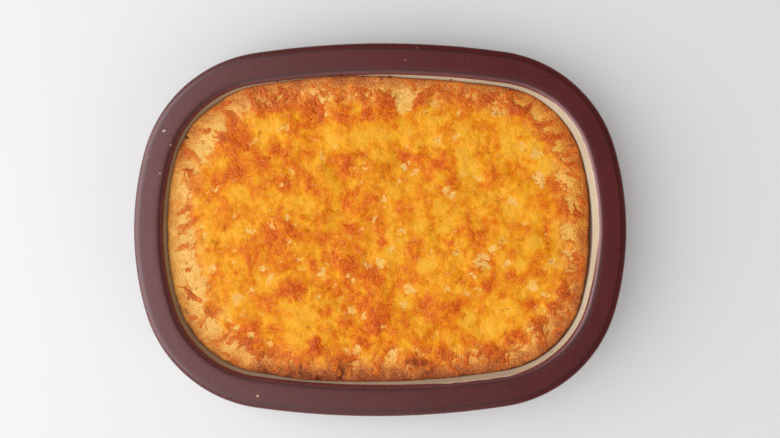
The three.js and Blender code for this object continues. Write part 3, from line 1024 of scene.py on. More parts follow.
TOASTED_EDGE = {  # where the crust itself is dark
    (20, 0.9): ((300, 372), (335, 372)),
    (18, 0.7): ((270, 370), (370, 374)),
    (18, 0.6): ((430, 372),),
    (16, 0.6): ((400, 375),),
    (16, 0.5): ((460, 370),),
    (14, 0.5): ((490, 364),),
    (14, 0.4): ((520, 354),),
    (14, 0.3): ((310, 362),),
    (13, 0.5): ((557, 320),),
    (12, 0.4): ((260, 95), (545, 342), (572, 300)),
    (12, 0.3): ((240, 362), (350, 366), (583, 200)),
    (12, 0.1): ((330, 84),),
    (10, 0.4): ((341, 82), (560, 335)),
    (10, 0.35): ((240, 101), (360, 82)),
    (10, 0.3): ((580, 265),),
    (10, 0.2): ((190, 330), (215, 350), (300, 84), (580, 240)),
    (9, 0.6): ((184, 150),),
    (9, 0.35): ((192, 133), (512, 90)),
    (9, 0.3): ((205, 118), (222, 106), (571, 140)),
    (8, 0.3): ((577, 160),),
}
PALE_CRUST = {  # where the crust stayed light
    (12, 0.6): ((404, 98),),
    (11, 0.7): ((564, 178),),
    (10, 0.8): ((190, 270), (195, 250), (205, 145)),
    (10, 0.6): ((211, 327),),
    (10, 0.4): ((175, 260),),
    (10, 0.3): ((320, 94),),
    (9, 0.8): ((200, 284),),
    (9, 0.7): ((177, 235),),
    (9, 0.6): ((181, 286), (573, 204)),
    (9, 0.4): ((520, 352), (539, 114)),
    (8, 0.8): ((185, 238), (188, 254)),
    (8, 0.7): ((567, 232),),
    (8, 0.6): ((205, 275), (392, 355)),
    (8, 0.5): ((198, 310), (557, 146)),
    (8, 0.4): ((188, 196),),
    (8, 0.3): ((176, 180),),
    (7, 0.6): ((183, 218), (213, 138)),
    (7, 0.5): ((246, 362), (566, 256)),
    (7, 0.4): ((220, 128), (229, 349)),
    (6, 0.5): ((205, 297),),
}
dry = 1 - smooth(from_edge + ragged, crust_width - 4, crust_width + 14)
toasted_ring = 0.42 * smooth(-from_edge, -14, -3) + 0.16 * smooth(-from_edge, -4, 0)
dried_ring = 0.1 * smooth(-from_edge, -26, -12)
toast = 0.12 + dried_ring + toasted_ring * (0.9 - 0.5 * smooth(-X, 60, 150))
toast = toast + 0.55 * spots_on_plan(TOASTED_EDGE) - 0.34 * spots_on_plan(PALE_CRUST)
toast = np.clip(toast + 0.05 * cloud(7, 50), 0.12, 1)
print("mean film", round(float(film[outwards < 1].mean()), 2), "mean brown", round(float(brown.mean()), 2))

# %% Heights
CROWN = 2.2
SHOULDER = 2.6  # mm, radius of the crust's upper edge
DIMPLE = (518, 170)  # in the picture: a smooth hollow in the cheese

level = by_bearing(edge_height)
# The tilted plane through the edge's heights, which bulges towards the middle of the food
lean_x = np.polyfit(edge_x, edge_height, 1)
lean_y = np.polyfit(edge_y, edge_height - np.polyval(lean_x, edge_x), 1)
plane = np.polyval(lean_x, X) + np.polyval(lean_y, Y)
bulk = plane + (level - plane) * outwards**5 + CROWN * (1 - np.clip(outwards, 0, 1) ** 4)
swells = 0.6 * cloud(42, 61) + 0.35 * cloud(19, 62) + 0.12 * cloud(9, 63)
dimple = np.zeros(X.shape)
draw_spot(dimple, from_picture(*DIMPLE), 13, 1.0)
bulk = bulk + swells * smooth(from_edge, 0, 18) - 1.6 * dimple
turned = np.clip(1 - from_edge / SHOULDER, 0, 1)
rounding = SHOULDER * (1 - np.sqrt(1 - np.minimum(turned, 0.97) ** 2))

crumb = 0.09 * cloud(4.5, 64) + 0.06 * cloud(2.2, 65)
pores = smooth(cloud(2.0, 66), 1.4, 2.4)
bake_top = bulk - rounding + crumb - 0.3 * pores - 1.0 * pits - 0.5 * burnt_and_crack_shade
blisters = 0.1 * cloud(6, 67) + 0.07 * cloud(3, 68)
thickness = 0.7 * smooth(cover, 0.0, 0.9) - 0.3
relief = 0.4 * browned + 0.5 * streaks + 0.12 * bright + blisters - 0.3 * pale
relief = relief * np.maximum(smooth(cover, 0.3, 0.8), lone_shreds)
cheese_top = bulk - rounding + 0.5 * crumb + thickness + relief - 0.9 * pits - 0.4 * burnt_and_crack_shade
print("bake top", bake_top[outwards < 0.97].min().round(1), bake_top[outwards < 1].max().round(1))
print("cheese top", cheese_top[outwards < 0.97].min().round(1), cheese_top[outwards < 1].max().round(1))


# %% [markdown]
# ## The bake and the cheese
# Both are closed solids with a fine grid on top. A square grid is drawn out to the food's outline, so its
# cells stay nearly even right up to the edge. Below the outline the bake's crust follows the dish's wall down
# to the floor. The cheese is a blanket that dips under the bake wherever a bare patch or its ragged end is,
# so it comes up out of the crust without a step.

# %% Sheet builder
def sample(field, x, y):
    """The plan's value at these places."""
    across = np.clip((x - plan_x[0]) / CELL, 0, len(plan_x) - 1.001)
    up = np.clip((y - plan_y[0]) / CELL, 0, len(plan_y) - 1.001)
    i, j = across.astype(int), up.astype(int)
    s, t = across - i, up - j
    low = field[j, i] * (1 - s) + field[j, i + 1] * s
    high = field[j + 1, i] * (1 - s) + field[j + 1, i + 1] * s
    return low * (1 - t) + high * t


def drawn_out_grid(columns, rows, crowding):
    """Turns and shares outwards of a square grid that is drawn out to the oval, crowded towards its edge."""
    a = np.linspace(-1, 1, columns + 1)[None, :].repeat(rows + 1, 0)
    b = np.linspace(-1, 1, rows + 1)[:, None].repeat(columns + 1, 1)
    wide, high = np.abs(a), np.abs(b)
    ring = np.maximum(wide, high)
    safe = np.maximum(ring, 1e-9)
    along = np.where(high <= wide, CORNER_MIDDLE * high / safe, 1 - (1 - CORNER_MIDDLE) * wide / safe)
    turn = np.where(a >= 0, np.where(b >= 0, along, 4 - along), np.where(b >= 0, 2 - along, 2 + along)) / 4
    out = ring + crowding * np.sin(np.pi * ring) / np.pi
    return turn % 1, out


def outline_at(turn):
    x = np.interp(turn, turns, edge_x, period=1)
    y = np.interp(turn, turns, edge_y, period=1)
    return x, y


FIELDS = {"film": film, "brown": brown, "toast": toast, "pits": pits, "burnt_and_crack_shade": burnt_and_crack_shade, "dry": dry}


def closed_sheet(name, cells, crowding, reach, top, below_edge):
    """A closed solid with a fine top. below_edge lists rings under the edge, each a function of turn."""
    columns, rows = cells
    turn, out = drawn_out_grid(columns, rows, crowding)
    x, y = outline_at(turn)
    x, y = x * out * reach, y * out * reach
    top_points = np.stack([x, y, sample(top, x, y)], -1).reshape(-1, 3)
    index = np.arange((rows + 1) * (columns + 1)).reshape(rows + 1, columns + 1)
    corners = [index[:-1, :-1], index[:-1, 1:], index[1:, 1:], index[1:, :-1]]
    faces = np.stack(corners, -1).reshape(-1, 4).tolist()
    edge = np.concatenate([index[0, :-1], index[:-1, -1], index[-1, :0:-1], index[:0:-1, 0]])
    edge_turn = turn.reshape(-1)[edge]
    points = [top_points]
    ring = edge
    for make_ring in below_edge:
        made = make_ring(edge_turn)
        start = sum(len(part) for part in points)
        next_ring = np.arange(start, start + len(made))
        points.append(made)
        if len(made) == 1:
            faces += [[a, start, b] for a, b in zip(ring.tolist(), np.roll(ring, -1).tolist())]
            break
        quads = zip(ring, next_ring, np.roll(next_ring, -1), np.roll(ring, -1))
        faces += [[int(v) for v in quad] for quad in quads]
        ring = next_ring
    points = np.concatenate(points)
    mesh = bpy.data.meshes.new(name)
    mesh.from_pydata((points * MM).tolist(), [], faces)
    mesh.update()
    for label, field in FIELDS.items():
        give(mesh, label, sample(field, points[:, 0], points[:, 1]))
    mesh.shade_smooth()
    piece = put(name, mesh)
    face_outwards(piece)
    print(name, "has", sum(len(face) - 2 for face in faces), "triangles")
    return piece


# %% The bake
BAKE_GRID = (322, 228)  # cells along and across
BAKE_CROWDING = 0.3
CLEARANCE = 0.4  # mm between crust and dish below the edge
SIDE_DROPS = (0.6, 1.6, 3.2, 6, 12, 20)  # mm below the edge
GAP_FADE = 14  # mm below the edge over which its gap to the wall closes
FILLET_ANGLES = (-15, -40, -65, -90)  # degrees round the bend from the wall to the floor
FLOOR_RING = 60.0  # mm, half length of the ring on the floor


def side_ring(drop):
    def ring(turn):
        height = np.interp(turn, turns, edge_height, period=1) - SHOULDER - drop
        gap = np.interp(turn, turns, edge_gap, period=1) * np.exp(-drop / GAP_FADE)
        x, y = oval_point(inner_wall(height) - np.maximum(gap, CLEARANCE), turn, FAMILY)
        return np.stack([x, y, height], -1)
    return ring


def fillet_ring(angle):
    def ring(turn):
        length = floor_fillet[0] + (FLOOR_FILLET - CLEARANCE) * math.cos(math.radians(angle))
        height = floor_fillet[1] + (FLOOR_FILLET - CLEARANCE) * math.sin(math.radians(angle))
        x, y = oval_point(np.full(len(turn), length), turn, FAMILY)
        return np.stack([x, y, np.full(len(turn), height)], -1)
    return ring


def floor_ring(turn):
    x, y = oval_point(np.full(len(turn), FLOOR_RING), turn, FAMILY)
    return np.stack([x, y, np.full(len(turn), FLOOR_TOP + CLEARANCE)], -1)


def floor_middle(turn):
    return np.array([[0.0, 0.0, FLOOR_TOP + CLEARANCE]])


bake_rings = [side_ring(drop) for drop in SIDE_DROPS]
bake_rings += [fillet_ring(angle) for angle in FILLET_ANGLES]
bake_rings += [floor_ring, floor_middle]
bake = closed_sheet("bready_casserole", BAKE_GRID, BAKE_CROWDING, 1.0, bake_top, bake_rings)

# %% The cheese
CHEESE_GRID = (350, 246)
CHEESE_REACH = 0.985
CHEESE_END = 0.97  # share of the way out from which it lies hidden in the crust
CHEESE_DIP = 1.2  # mm below the crust there
UNDERSIDE = 3.5  # mm that the blanket's hidden lower face lies below the bake's top


def cheese_ring(inset, drop):
    def ring(turn):
        x, y = outline_at(turn)
        x, y = x * (CHEESE_REACH - inset), y * (CHEESE_REACH - inset)
        return np.stack([x, y, sample(cheese_top, x, y) - drop], -1)
    return ring


def cheese_middle(turn):
    return np.array([[0.0, 0.0, float(sample(bulk, np.zeros(1), np.zeros(1))[0]) - UNDERSIDE]])


cheese_rings = [cheese_ring(0.004, 1.0), cheese_ring(0.03, UNDERSIDE), cheese_ring(0.35, UNDERSIDE)]
cheese_rings += [cheese_middle]
cheese_top = np.where(outwards > CHEESE_END, np.minimum(cheese_top, bake_top - CHEESE_DIP), cheese_top)
cheese = closed_sheet("melted_cheddar", CHEESE_GRID, 0.0, CHEESE_REACH, cheese_top, cheese_rings)

# %% [markdown]
# ## Crust and cheese colours
# Cornbread crust is a foam that has set: tiny pores with painted shade in them, a sandy grain, pale gold
# where the oven only dried it, brown along the edge, and cracks painted nearly black as the shade in them.
# Melted cheese is bright yellow, then orange and rust as it toasts, with a painted pinkish highlight on the
# browned tips and painted shade in its steam holes. It has run into fine fibres, here noise that is drawn out
# in three directions, each where a wider pattern picks it. Both finishes share one colour rule, so the
# cheese's thin edge melts into the crust without a line.

# %% Colour rules of the food
CRUST_STOPS = {
    0.0: tone(251, 206, 118),
    0.2: tone(248, 182, 92),
    0.45: tone(226, 143, 62),
    0.65: tone(200, 113, 58),
    0.85: tone(174, 93, 54),
    1.0: tone(134, 60, 34),
}
CHEESE_STOPS = {
    0.0: tone(253, 188, 59),
    0.17: tone(248, 167, 28),
    0.33: tone(238, 145, 12),
    0.5: tone(232, 122, 10),
    0.67: tone(224, 99, 8),
    0.83: tone(208, 78, 8),
    1.0: tone(180, 54, 8),
}
DRY_CHEESE_STOPS = {
    0.0: tone(255, 198, 108),
    0.33: tone(245, 166, 74),
    0.5: tone(234, 140, 50),
    0.67: tone(220, 117, 38),
    0.83: tone(200, 91, 30),
    1.0: tone(160, 60, 22),
}
# painted shade: the colour inside the crust's pores
CRUST_PORE_SHADE = tone(172, 92, 34)
# painted shade inside the steam holes
PIT_SHADE = tone(172, 72, 3)
# nearly black: burnt places, and painted shade in the cracks
BURNT_AND_CRACK_SHADE = tone(74, 28, 20)
HOT_CORNER = (0.9, 0.84, 0.6, 1.0)  # the oven baked the far right of the crust to a deeper brown
PAINTED_SHEEN_TIP = tone(240, 140, 78)  # painted highlight: a pinkish sheen on the tips of browned cheese
FIBRE_TURNS = (1.05, 1.75, 2.5)


def fibres(tree, across, along):
    """Noise drawn out into fibres of this size in mm, in three directions that take turns, from 0 to 1."""
    place = object_place(tree)
    patches = noise(tree, 9, 2)
    mixed = 0
    for index, turn in enumerate(FIBRE_TURNS):
        laid = add(tree, "ShaderNodeMapping", {"Vector": place}, vector_type="TEXTURE")
        laid.inputs["Rotation"].default_value = (0, 0, turn)
        laid.inputs["Scale"].default_value = (along / across, 1, 1)
        strands = noise(tree, across, 3, wire(laid), distortion=0.6)
        middle = 0.38 + 0.12 * index
        near = 1 - share((patches - middle).math("ABSOLUTE"), 0.03, 0.09)
        mixed = strands if index == 0 else mixed + (strands - mixed) * near
    return mixed


def pinholes(tree, spacing, size):
    """1 in small round holes, about spacing mm apart, and 0 between them."""
    holes = add(tree, "ShaderNodeTexVoronoi", {"Vector": object_place(tree), "Scale": 1 / (spacing * MM)})
    return share(wire(holes), size / spacing, 0.4 * size / spacing)


def crust_colour(tree, sandy, fine, holes):
    lumps = noise(tree, 4.5, 3)
    toasted = attribute(tree, "toast") + (lumps - 0.5) * 0.2 + (sandy - 0.5) * 0.8
    toasted = toasted + (fine - 0.5) * (attribute(tree, "toast") * 1.6 + 0.9)
    # pores painted darker, as the shade in them
    return blend(tree, holes * 0.7, ramp(tree, toasted, CRUST_STOPS), CRUST_PORE_SHADE)


def cheese_colour(tree, stringy, fine):
    ragged_patches = noise(tree, 6, 6, roughness=0.62, distortion=0.4)
    brown = attribute(tree, "brown")
    patch = share(brown + (ragged_patches - 0.5) * 0.7, 0.22, 0.62)
    threads = (stringy - 0.5) * 0.8 + (fine - 0.5) * 1.0
    browning = patch * 0.34 + brown * 0.45 + 0.06 + threads * (brown + 0.5)
    # painted highlight: a pinkish sheen on the browned tips
    painted_sheen = share(noise(tree, 1.3, 2), 0.5, 0.7) * share(brown, 0.35, 0.7) * 0.5
    moist = ramp(tree, browning, CHEESE_STOPS)
    colour = blend(tree, attribute(tree, "dry") * 0.85, moist, ramp(tree, browning, DRY_CHEESE_STOPS))
    return blend(tree, painted_sheen, colour, PAINTED_SHEEN_TIP)


def food_finish(name, **constants):
    """Crust with a film of cheese over it, as the plan's fields tell."""
    material, tree, shader = new_finish(name, **constants)
    fine = noise(tree, 0.55, 3)
    sandy = noise(tree, 1.2, 3)
    stringy = fibres(tree, 0.9, 5.5)
    small_holes = pinholes(tree, 1.7, 0.45) * share(noise(tree, 3), 0.45, 0.6)
    holes = most(small_holes, pinholes(tree, 4.2, 0.8))
    film = share(attribute(tree, "film") + (sandy - 0.5) * 0.6 + (fine - 0.5) * 0.4, 0.15, 0.8)
    film = film * (1 - share(noise(tree, 2.6, 4), 0.52, 0.72) * 0.35)
    colour = blend(tree, film, crust_colour(tree, sandy, fine, holes), cheese_colour(tree, stringy, fine))
    across, upward, _ = parts(tree, object_place(tree))
    hot_corner = share(across, 0.03, 0.11) * share(upward, -0.06, 0.01)
    colour = blend(tree, hot_corner * attribute(tree, "dry"), colour, HOT_CORNER, "MULTIPLY")
    # painted shade in the steam holes
    colour = blend(tree, attribute(tree, "pits") * 0.85, colour, PIT_SHADE)
    colour = blend(tree, attribute(tree, "burnt_and_crack_shade"), colour, BURNT_AND_CRACK_SHADE)
    feed(shader.inputs["Base Color"], colour)
    feed(shader.inputs["Roughness"], film * -0.4 + 0.75 + (stringy - 0.5) * 0.1)
    grain = fine * 0.9 + sandy * 0.9 - holes * 0.12
    melt = stringy * 1.15 + fine * 0.8
    feed(shader.inputs["Normal"], bump(tree, grain + film * (melt - grain), 0.6, 0.85))
    return material


# %% Crust and cheese finishes
crust = food_finish("bready crust", **{"Specular IOR Level": 0.1})
melting = {
    "Specular IOR Level": 0.1,
    "Subsurface Weight": 0.12,
    "Subsurface Scale": 1.5 * MM,
    "Subsurface Radius": (1.0, 0.45, 0.12),
}
melted = food_finish("melted cheese", **melting)
bake.data.materials.append(crust)
cheese.data.materials.append(melted)

# %% [markdown]
# ## Browned shreds
# Grated cheese melts into the rest, yet every shred stays a low ridge that the grill browned first, and on
# the bare crust it lies like a rusty thread. A node tree scatters bent shreds over a copy of the top, more
# where it is browned, and adds those listed along the streaks. It then lowers all of them on to the surface
# with rays from above, which also bring back how brown the cheese is there.

# %% Shred tree
SHRED_SIDES = 6
SHRED_PARTS = 6
PROFILE_SIDES = 10


def chance(tree, low, high, seed):
    """A seeded number between low and high for every point."""
    node = add(tree, "FunctionNodeRandomValue", data_type="FLOAT")
    for index, value in ((2, low), (3, high), (8, seed)):
        feed(node.inputs[index], value)
    return wire(node, 1)


def scattered_shreds(tree, top, sizes):
    """Bent shreds by chance, lying level, with what their points need to know stored on them."""
    spread = add(tree, "GeometryNodeDistributePointsOnFaces", {"Mesh": top, "Seed": sizes["Seed"]})
    feed(spread.inputs["Density"], named(tree, "shreds") * sizes["Shreds per sq m"])
    points = wire(spread)
    points = stored(tree, points, "middle", position(tree), "FLOAT_VECTOR")
    for name, low, high, seed in (("heading", 0, math.tau, 1), ("bend", -1, 1, 2), ("long", 0.4, 1, 3),
                                  ("wide", 0.45, 1, 4), ("tint", -1, 1, 5)):
        points = stored(tree, points, name, chance(tree, low, high, seed))
    tube_sizes = {"Vertices": SHRED_SIDES, "Side Segments": SHRED_PARTS, "Radius": 1.0, "Depth": 2.0}
    tube = add(tree, "GeometryNodeMeshCylinder", tube_sizes, fill_type="NONE")
    across, above, along = parts(tree, position(tree))
    taper = (1 - along * along * along * along).math("SQRT")
    shred = stored(tree, wire(tube), "along", along)
    shred = stored(tree, shred, "across", across * taper)
    shred = stored(tree, shred, "above", above * taper)
    placed = add(tree, "GeometryNodeInstanceOnPoints", {"Points": points, "Instance": shred})
    real = wire(add(tree, "GeometryNodeRealizeInstances", {"Geometry": wire(placed)}))
    half = named(tree, "long") * sizes["Length"] * 0.5
    forward = named(tree, "along") * half
    sideways = named(tree, "across") * named(tree, "wide") * sizes["Width"] * 0.5
    sideways = sideways + named(tree, "along") * named(tree, "along") * named(tree, "bend") * half * 0.45
    ahead_x, ahead_y = cosine(named(tree, "heading")), sine(named(tree, "heading"))
    middle_x, middle_y, _ = parts(tree, named(tree, "middle", "FLOAT_VECTOR"))
    x = middle_x + ahead_x * forward - ahead_y * sideways
    y = middle_y + ahead_y * forward + ahead_x * sideways
    moved = add(tree, "GeometryNodeSetPosition", {"Geometry": real, "Position": point(tree, x, y, 0.0)})
    return wire(moved)


def placed_shreds(tree, guides, sizes):
    """Shreds along the guide lines, in the same form as the scattered ones."""
    curve = add(tree, "GeometryNodeMeshToCurve", {"Mesh": guides})
    curve = add(tree, "GeometryNodeCurveSplineType", {"Curve": wire(curve)}, spline_type="CATMULL_ROM")
    curve = add(tree, "GeometryNodeResampleCurve", {"Curve": wire(curve), "Length": 1.0 * MM}, mode="LENGTH")
    along = wire(add(tree, "GeometryNodeSplineParameter")) * 2 - 1
    round_ends = (1 - along * along * along * along * 0.97).math("SQRT")
    wobble = wire(add(tree, "ShaderNodeTexNoise", {"Scale": 1 / (3.5 * MM)}), 1)
    off_x, off_y, uneven = parts(tree, wobble)
    offset = point(tree, (off_x - 0.5) * sizes["Wobble"], (off_y - 0.5) * sizes["Wobble"], 0.0)
    shifted = add(tree, "GeometryNodeSetPosition", {"Geometry": wire(curve), "Offset": offset})
    width = named(tree, "half_width") * round_ends * (uneven * 0.8 + 0.6)
    circle = {"Resolution": PROFILE_SIDES, "Radius": 1.0}
    profile = add(tree, "GeometryNodeCurvePrimitiveCircle", circle, mode="RADIUS")
    tube = add(tree, "GeometryNodeCurveToMesh", {"Curve": wire(shifted), "Profile Curve": wire(profile)})
    feed(tube.inputs["Scale"], width)
    tube.inputs["Fill Caps"].default_value = True
    x, y, z = parts(tree, position(tree))
    shaped = stored(tree, wire(tube), "above", z / named(tree, "half_width"))
    flat = add(tree, "GeometryNodeSetPosition", {"Geometry": shaped, "Position": point(tree, x, y, 0.0)})
    return wire(flat)


def shred_tree():
    """Shreds over the top of the food. One that reaches past the food's edge is left out whole."""
    numbers = ("Shreds per sq m", "Length", "Width", "Rise", "Sink", "Wobble", "Tint")
    sockets = {**{label: "Float" for label in numbers}, "Seed": "Int", "Material": "Material"}
    tree, given, result = new_tree("shreds", sockets)
    sizes = {label: wire(given, label) for label in sockets}
    split = add(tree, "GeometryNodeSeparateGeometry", {"Geometry": wire(given)}, domain="POINT")
    feed(split.inputs["Selection"], named(tree, "guide"))
    top = wire(split, 1)
    both = add(tree, "GeometryNodeJoinGeometry")
    feed(both.inputs[0], scattered_shreds(tree, top, sizes))
    feed(both.inputs[0], placed_shreds(tree, wire(split), sizes))

    x, y, _ = parts(tree, position(tree))
    found = []
    for name in ("brown", "raised", "dry", "burnt_and_crack_shade"):
        ray = add(tree, "GeometryNodeRaycast", {"Target Geometry": top, "Ray Length": 1.0}, data_type="FLOAT")
        feed(ray.inputs["Attribute"], named(tree, name))
        feed(ray.inputs["Source Position"], point(tree, x, y, 0.2))
        feed(ray.inputs["Ray Direction"], point(tree, 0.0, 0.0, -1.0))
        found.append(ray)
    missed = add(tree, "GeometryNodeAccumulateField", data_type="FLOAT", domain="POINT")
    feed(missed.inputs["Value"], 1 - wire(found[0]))
    feed(missed.inputs["Group ID"], wire(add(tree, "GeometryNodeInputMeshIsland")))
    kept = add(tree, "GeometryNodeDeleteGeometry", {"Geometry": wire(both)}, domain="POINT")
    feed(kept.inputs["Selection"], wire(missed, "Total"))
    brown = wire(found[0], 4) + named(tree, "tint") * sizes["Tint"] + named(tree, "extra")
    geometry = stored(tree, wire(kept), "brown", brown)
    geometry = stored(tree, geometry, "dry", wire(found[2], 4))
    geometry = stored(tree, geometry, "burnt_and_crack_shade", wire(found[3], 4))
    _, _, ground = parts(tree, wire(found[0], 1))
    rise = wire(found[1], 4) * sizes["Rise"]
    above = named(tree, "above")
    height = ground + above * above.math("ABSOLUTE") * rise - sizes["Sink"]
    landing = point(tree, x, y, height)
    landed = add(tree, "GeometryNodeSetPosition", {"Geometry": geometry, "Position": landing})
    joined = add(tree, "GeometryNodeMergeByDistance", {"Geometry": wire(landed), "Distance": 0.004 * MM})
    end_tree(wire(joined), sizes["Material"], result)
    return tree


# %% Shred finish
def shred_finish():
    material, tree, shader = new_finish("browned cheese", **melting)
    fine = noise(tree, 0.55, 3)
    stringy = fibres(tree, 0.9, 3.5)
    colour = blend(tree, attribute(tree, "burnt_and_crack_shade"), cheese_colour(tree, stringy, fine), BURNT_AND_CRACK_SHADE)
    feed(shader.inputs["Base Color"], colour)
    feed(shader.inputs["Roughness"], stringy * 0.1 + 0.32)
    feed(shader.inputs["Normal"], bump(tree, stringy * 0.6 + fine * 0.5, 0.5, 0.85))
    return material


# %% Make the shreds
SHRED_VALUES = {
    "Shreds per sq m": 90000,
    "Length": 11 * MM,
    "Width": 3.2 * MM,
    "Rise": 0.26 * MM,
    "Sink": 0.05 * MM,
    "Tint": 0.15,
    "Wobble": 2.2 * MM,
    "Seed": 7,
    "Material": shred_finish(),
}
GUIDE_WIDTH = 1.05  # half width of a shred for each mm of its streak
GUIDE_TINT = 0.16  # how much browner these are than what they lie on
LANDING_GRID = (256, 184)


def landing_mesh():
    """The food's top, with the fields that the shreds need, and the guide lines as loose edges."""
    turn, out = drawn_out_grid(*LANDING_GRID, 0.0)
    x, y = outline_at(turn)
    x, y = (x * out).reshape(-1), (y * out).reshape(-1)
    top = np.maximum(bake_top, cheese_top)
    shape = np.arange(len(x)).reshape(turn.shape)
    corners = [shape[:-1, :-1], shape[:-1, 1:], shape[1:, 1:], shape[1:, :-1]]
    faces = np.stack(corners, -1).reshape(-1, 4).tolist()
    room = smooth(from_edge, 1.5, 6) * (0.12 + 0.88 * smooth(cover, 0.2, 0.8)) * (1 - 0.9 * pale)
    values = {
        "brown": sample(np.maximum(brown, (0.36 + 0.5 * toast) * (1 - 0.4 * smooth(cover, 0.2, 0.8))), x, y),
        "dry": sample(dry, x, y),
        "burnt_and_crack_shade": sample(burnt_and_crack_shade, x, y),
        "raised": sample(0.35 + 1.15 * browned + 0.8 * (1 - cover), x, y),
        "shreds": sample(np.clip(room * 0.9 * smooth(brown, 0.42, 0.68), 0, 1), x, y),
    }
    points = [np.stack([x, y, sample(top, x, y)], -1)]
    widths, extras, edges = [np.zeros(len(x))], [np.zeros(len(x))], []
    start = len(x)
    for line, half_width, strength in BROWN_STREAKS:
        spots = np.array([from_picture(*spot) for spot in line])
        points.append(np.column_stack([spots, np.zeros(len(spots))]))
        widths.append(np.full(len(spots), half_width * GUIDE_WIDTH * MM))
        extras.append(np.full(len(spots), GUIDE_TINT * strength))
        edges += [(start + step, start + step + 1) for step in range(len(spots) - 1)]
        start += len(spots)
    mesh = bpy.data.meshes.new("landing")
    mesh.from_pydata((np.concatenate(points) * MM).tolist(), edges, faces)
    spare = np.zeros(start - len(x))
    values = {label: np.concatenate([value, spare]) for label, value in values.items()}
    values["half_width"], values["extra"] = np.concatenate(widths), np.concatenate(extras)
    values["guide"] = np.concatenate([np.zeros(len(x)), spare + 1])
    for label, value in values.items():
        give(mesh, label, value)
    return mesh


shreds = run_tree("browned_shreds", landing_mesh(), shred_tree(), SHRED_VALUES)

# %% [markdown]
# ## Crumbs
# A few brown crumbs broke off the crust and lie along the inner lip, and some pale flakes stick to the rim.
# Each is one small lumpy ball, set where the line of sight through its place in the picture meets the dish
# or the food. A node tree repeats the ball, squashes it and presses it into uneven shapes.

# %% Crumb tree
CRUMBS = (  # x, y in the picture, radius in mm, how flat, 0 pale to 1 brown
    (389.5, 76.5, 1.5, 0.7, 0.9), (451, 79.5, 0.9, 0.7, 0.8), (480, 83, 0.8, 0.7, 0.7),
    (508, 88.5, 0.8, 0.7, 0.7), (363, 77, 0.8, 0.7, 0.9), (277, 81.5, 1.0, 0.7, 0.9),
    (187, 137.5, 1.1, 0.7, 1.0), (257.5, 396, 1.0, 0.03, 0.3), (163.5, 131, 0.8, 0.03, 0.0),
    (165, 130.5, 0.5, 0.03, 0.0), (170.5, 145, 0.6, 0.03, 0.0), (160, 173.5, 0.6, 0.03, 0.0),
    (166, 195, 0.4, 0.03, 0.0), (405, 60, 0.5, 0.03, 0.5), (417, 48, 0.4, 0.03, 0.4),
    (259, 378, 0.9, 0.6, 1.0), (552, 352, 0.8, 0.6, 0.8),
)
CRUMB_LIFT = 0.3  # share of its height by which a crumb's middle lies above what it is on
SIGHT_LOW, SIGHT_HIGH = 0.0, 80.0  # heights in mm between which the line of sight is followed


def crumb_tree():
    """A lumpy ball on every point, with the point's own size and flatness."""
    sockets = {"Lumps": "Float", "Unevenness": "Float", "Material": "Material"}
    tree, given, result = new_tree("crumbs", sockets)
    ball = add(tree, "GeometryNodeMeshIcoSphere", {"Radius": 1.0, "Subdivisions": 3})
    size = named(tree, "size")
    placed = add(tree, "GeometryNodeInstanceOnPoints", {"Points": wire(given), "Instance": wire(ball)})
    feed(placed.inputs["Scale"], point(tree, size, size * 0.8, size * named(tree, "flat")))
    real = wire(add(tree, "GeometryNodeRealizeInstances", {"Geometry": wire(placed)}))
    lumps = wire(add(tree, "ShaderNodeTexNoise", {"Scale": wire(given, "Lumps"), "Detail": 2.0}), 1)
    off_x, off_y, _ = parts(tree, lumps)
    push = named(tree, "size") * wire(given, "Unevenness")
    offset = point(tree, (off_x - 0.5) * push, (off_y - 0.5) * push, 0.0)
    pressed = add(tree, "GeometryNodeSetPosition", {"Geometry": real, "Offset": offset})
    end_tree(wire(pressed), wire(given, "Material"), result)
    return tree


def crumb_finish():
    material, tree, shader = new_finish("dry crumbs", **{"Roughness": 0.8, "Specular IOR Level": 0.2})
    grain = noise(tree, 0.4, 3)
    shade = attribute(tree, "shade") + (grain - 0.5) * 0.5
    colours = {
        0.0: tone(236, 224, 208),
        0.5: tone(206, 150, 92),
        0.8: tone(132, 70, 38),
        1.0: tone(88, 40, 26),
    }
    feed(shader.inputs["Base Color"], ramp(tree, shade, colours))
    feed(shader.inputs["Normal"], bump(tree, grain, 0.3, 0.8))
    return material


# %% Make the crumbs
def surface_under(px, py, pieces):
    """Where the line of sight through a place in the picture first meets one of the pieces, in mm."""
    high = np.array([*from_picture(px, py, SIGHT_HIGH), SIGHT_HIGH])
    low = np.array([*from_picture(px, py, SIGHT_LOW), SIGHT_LOW])
    length = np.linalg.norm(low - high)
    hits = []
    for solid in pieces:
        _, _, _, distance = solid.ray_cast((high * MM).tolist(), ((low - high) / length).tolist())
        hits.append(length if distance is None else distance / MM)
    return high + (low - high) * min(hits) / length


solids = [BVHTree.FromObject(piece, bpy.context.evaluated_depsgraph_get()) for piece in (dish, bake, cheese)]
crumb_spots = [surface_under(x, y, solids) for x, y, _, _, _ in CRUMBS]
crumb_mesh = bpy.data.meshes.new("crumb_spots")
for spot, (_, _, radius, flat, _) in zip(crumb_spots, CRUMBS):
    spot[2] += CRUMB_LIFT * radius * flat
crumb_mesh.from_pydata([(spot * MM).tolist() for spot in crumb_spots], [], [])
_, _, radii, flatness, shades = np.array(CRUMBS).T
for label, values in (("size", radii * MM), ("flat", flatness), ("shade", shades)):
    give(crumb_mesh, label, values)
crumb_values = {"Lumps": 1 / (0.9 * MM), "Unevenness": 1.4, "Material": crumb_finish()}
crumbs = run_tree("loose_crumbs", crumb_mesh, crumb_tree(), crumb_values)
print("crumb heights", [round(float(spot[2]), 1) for spot in crumb_spots])

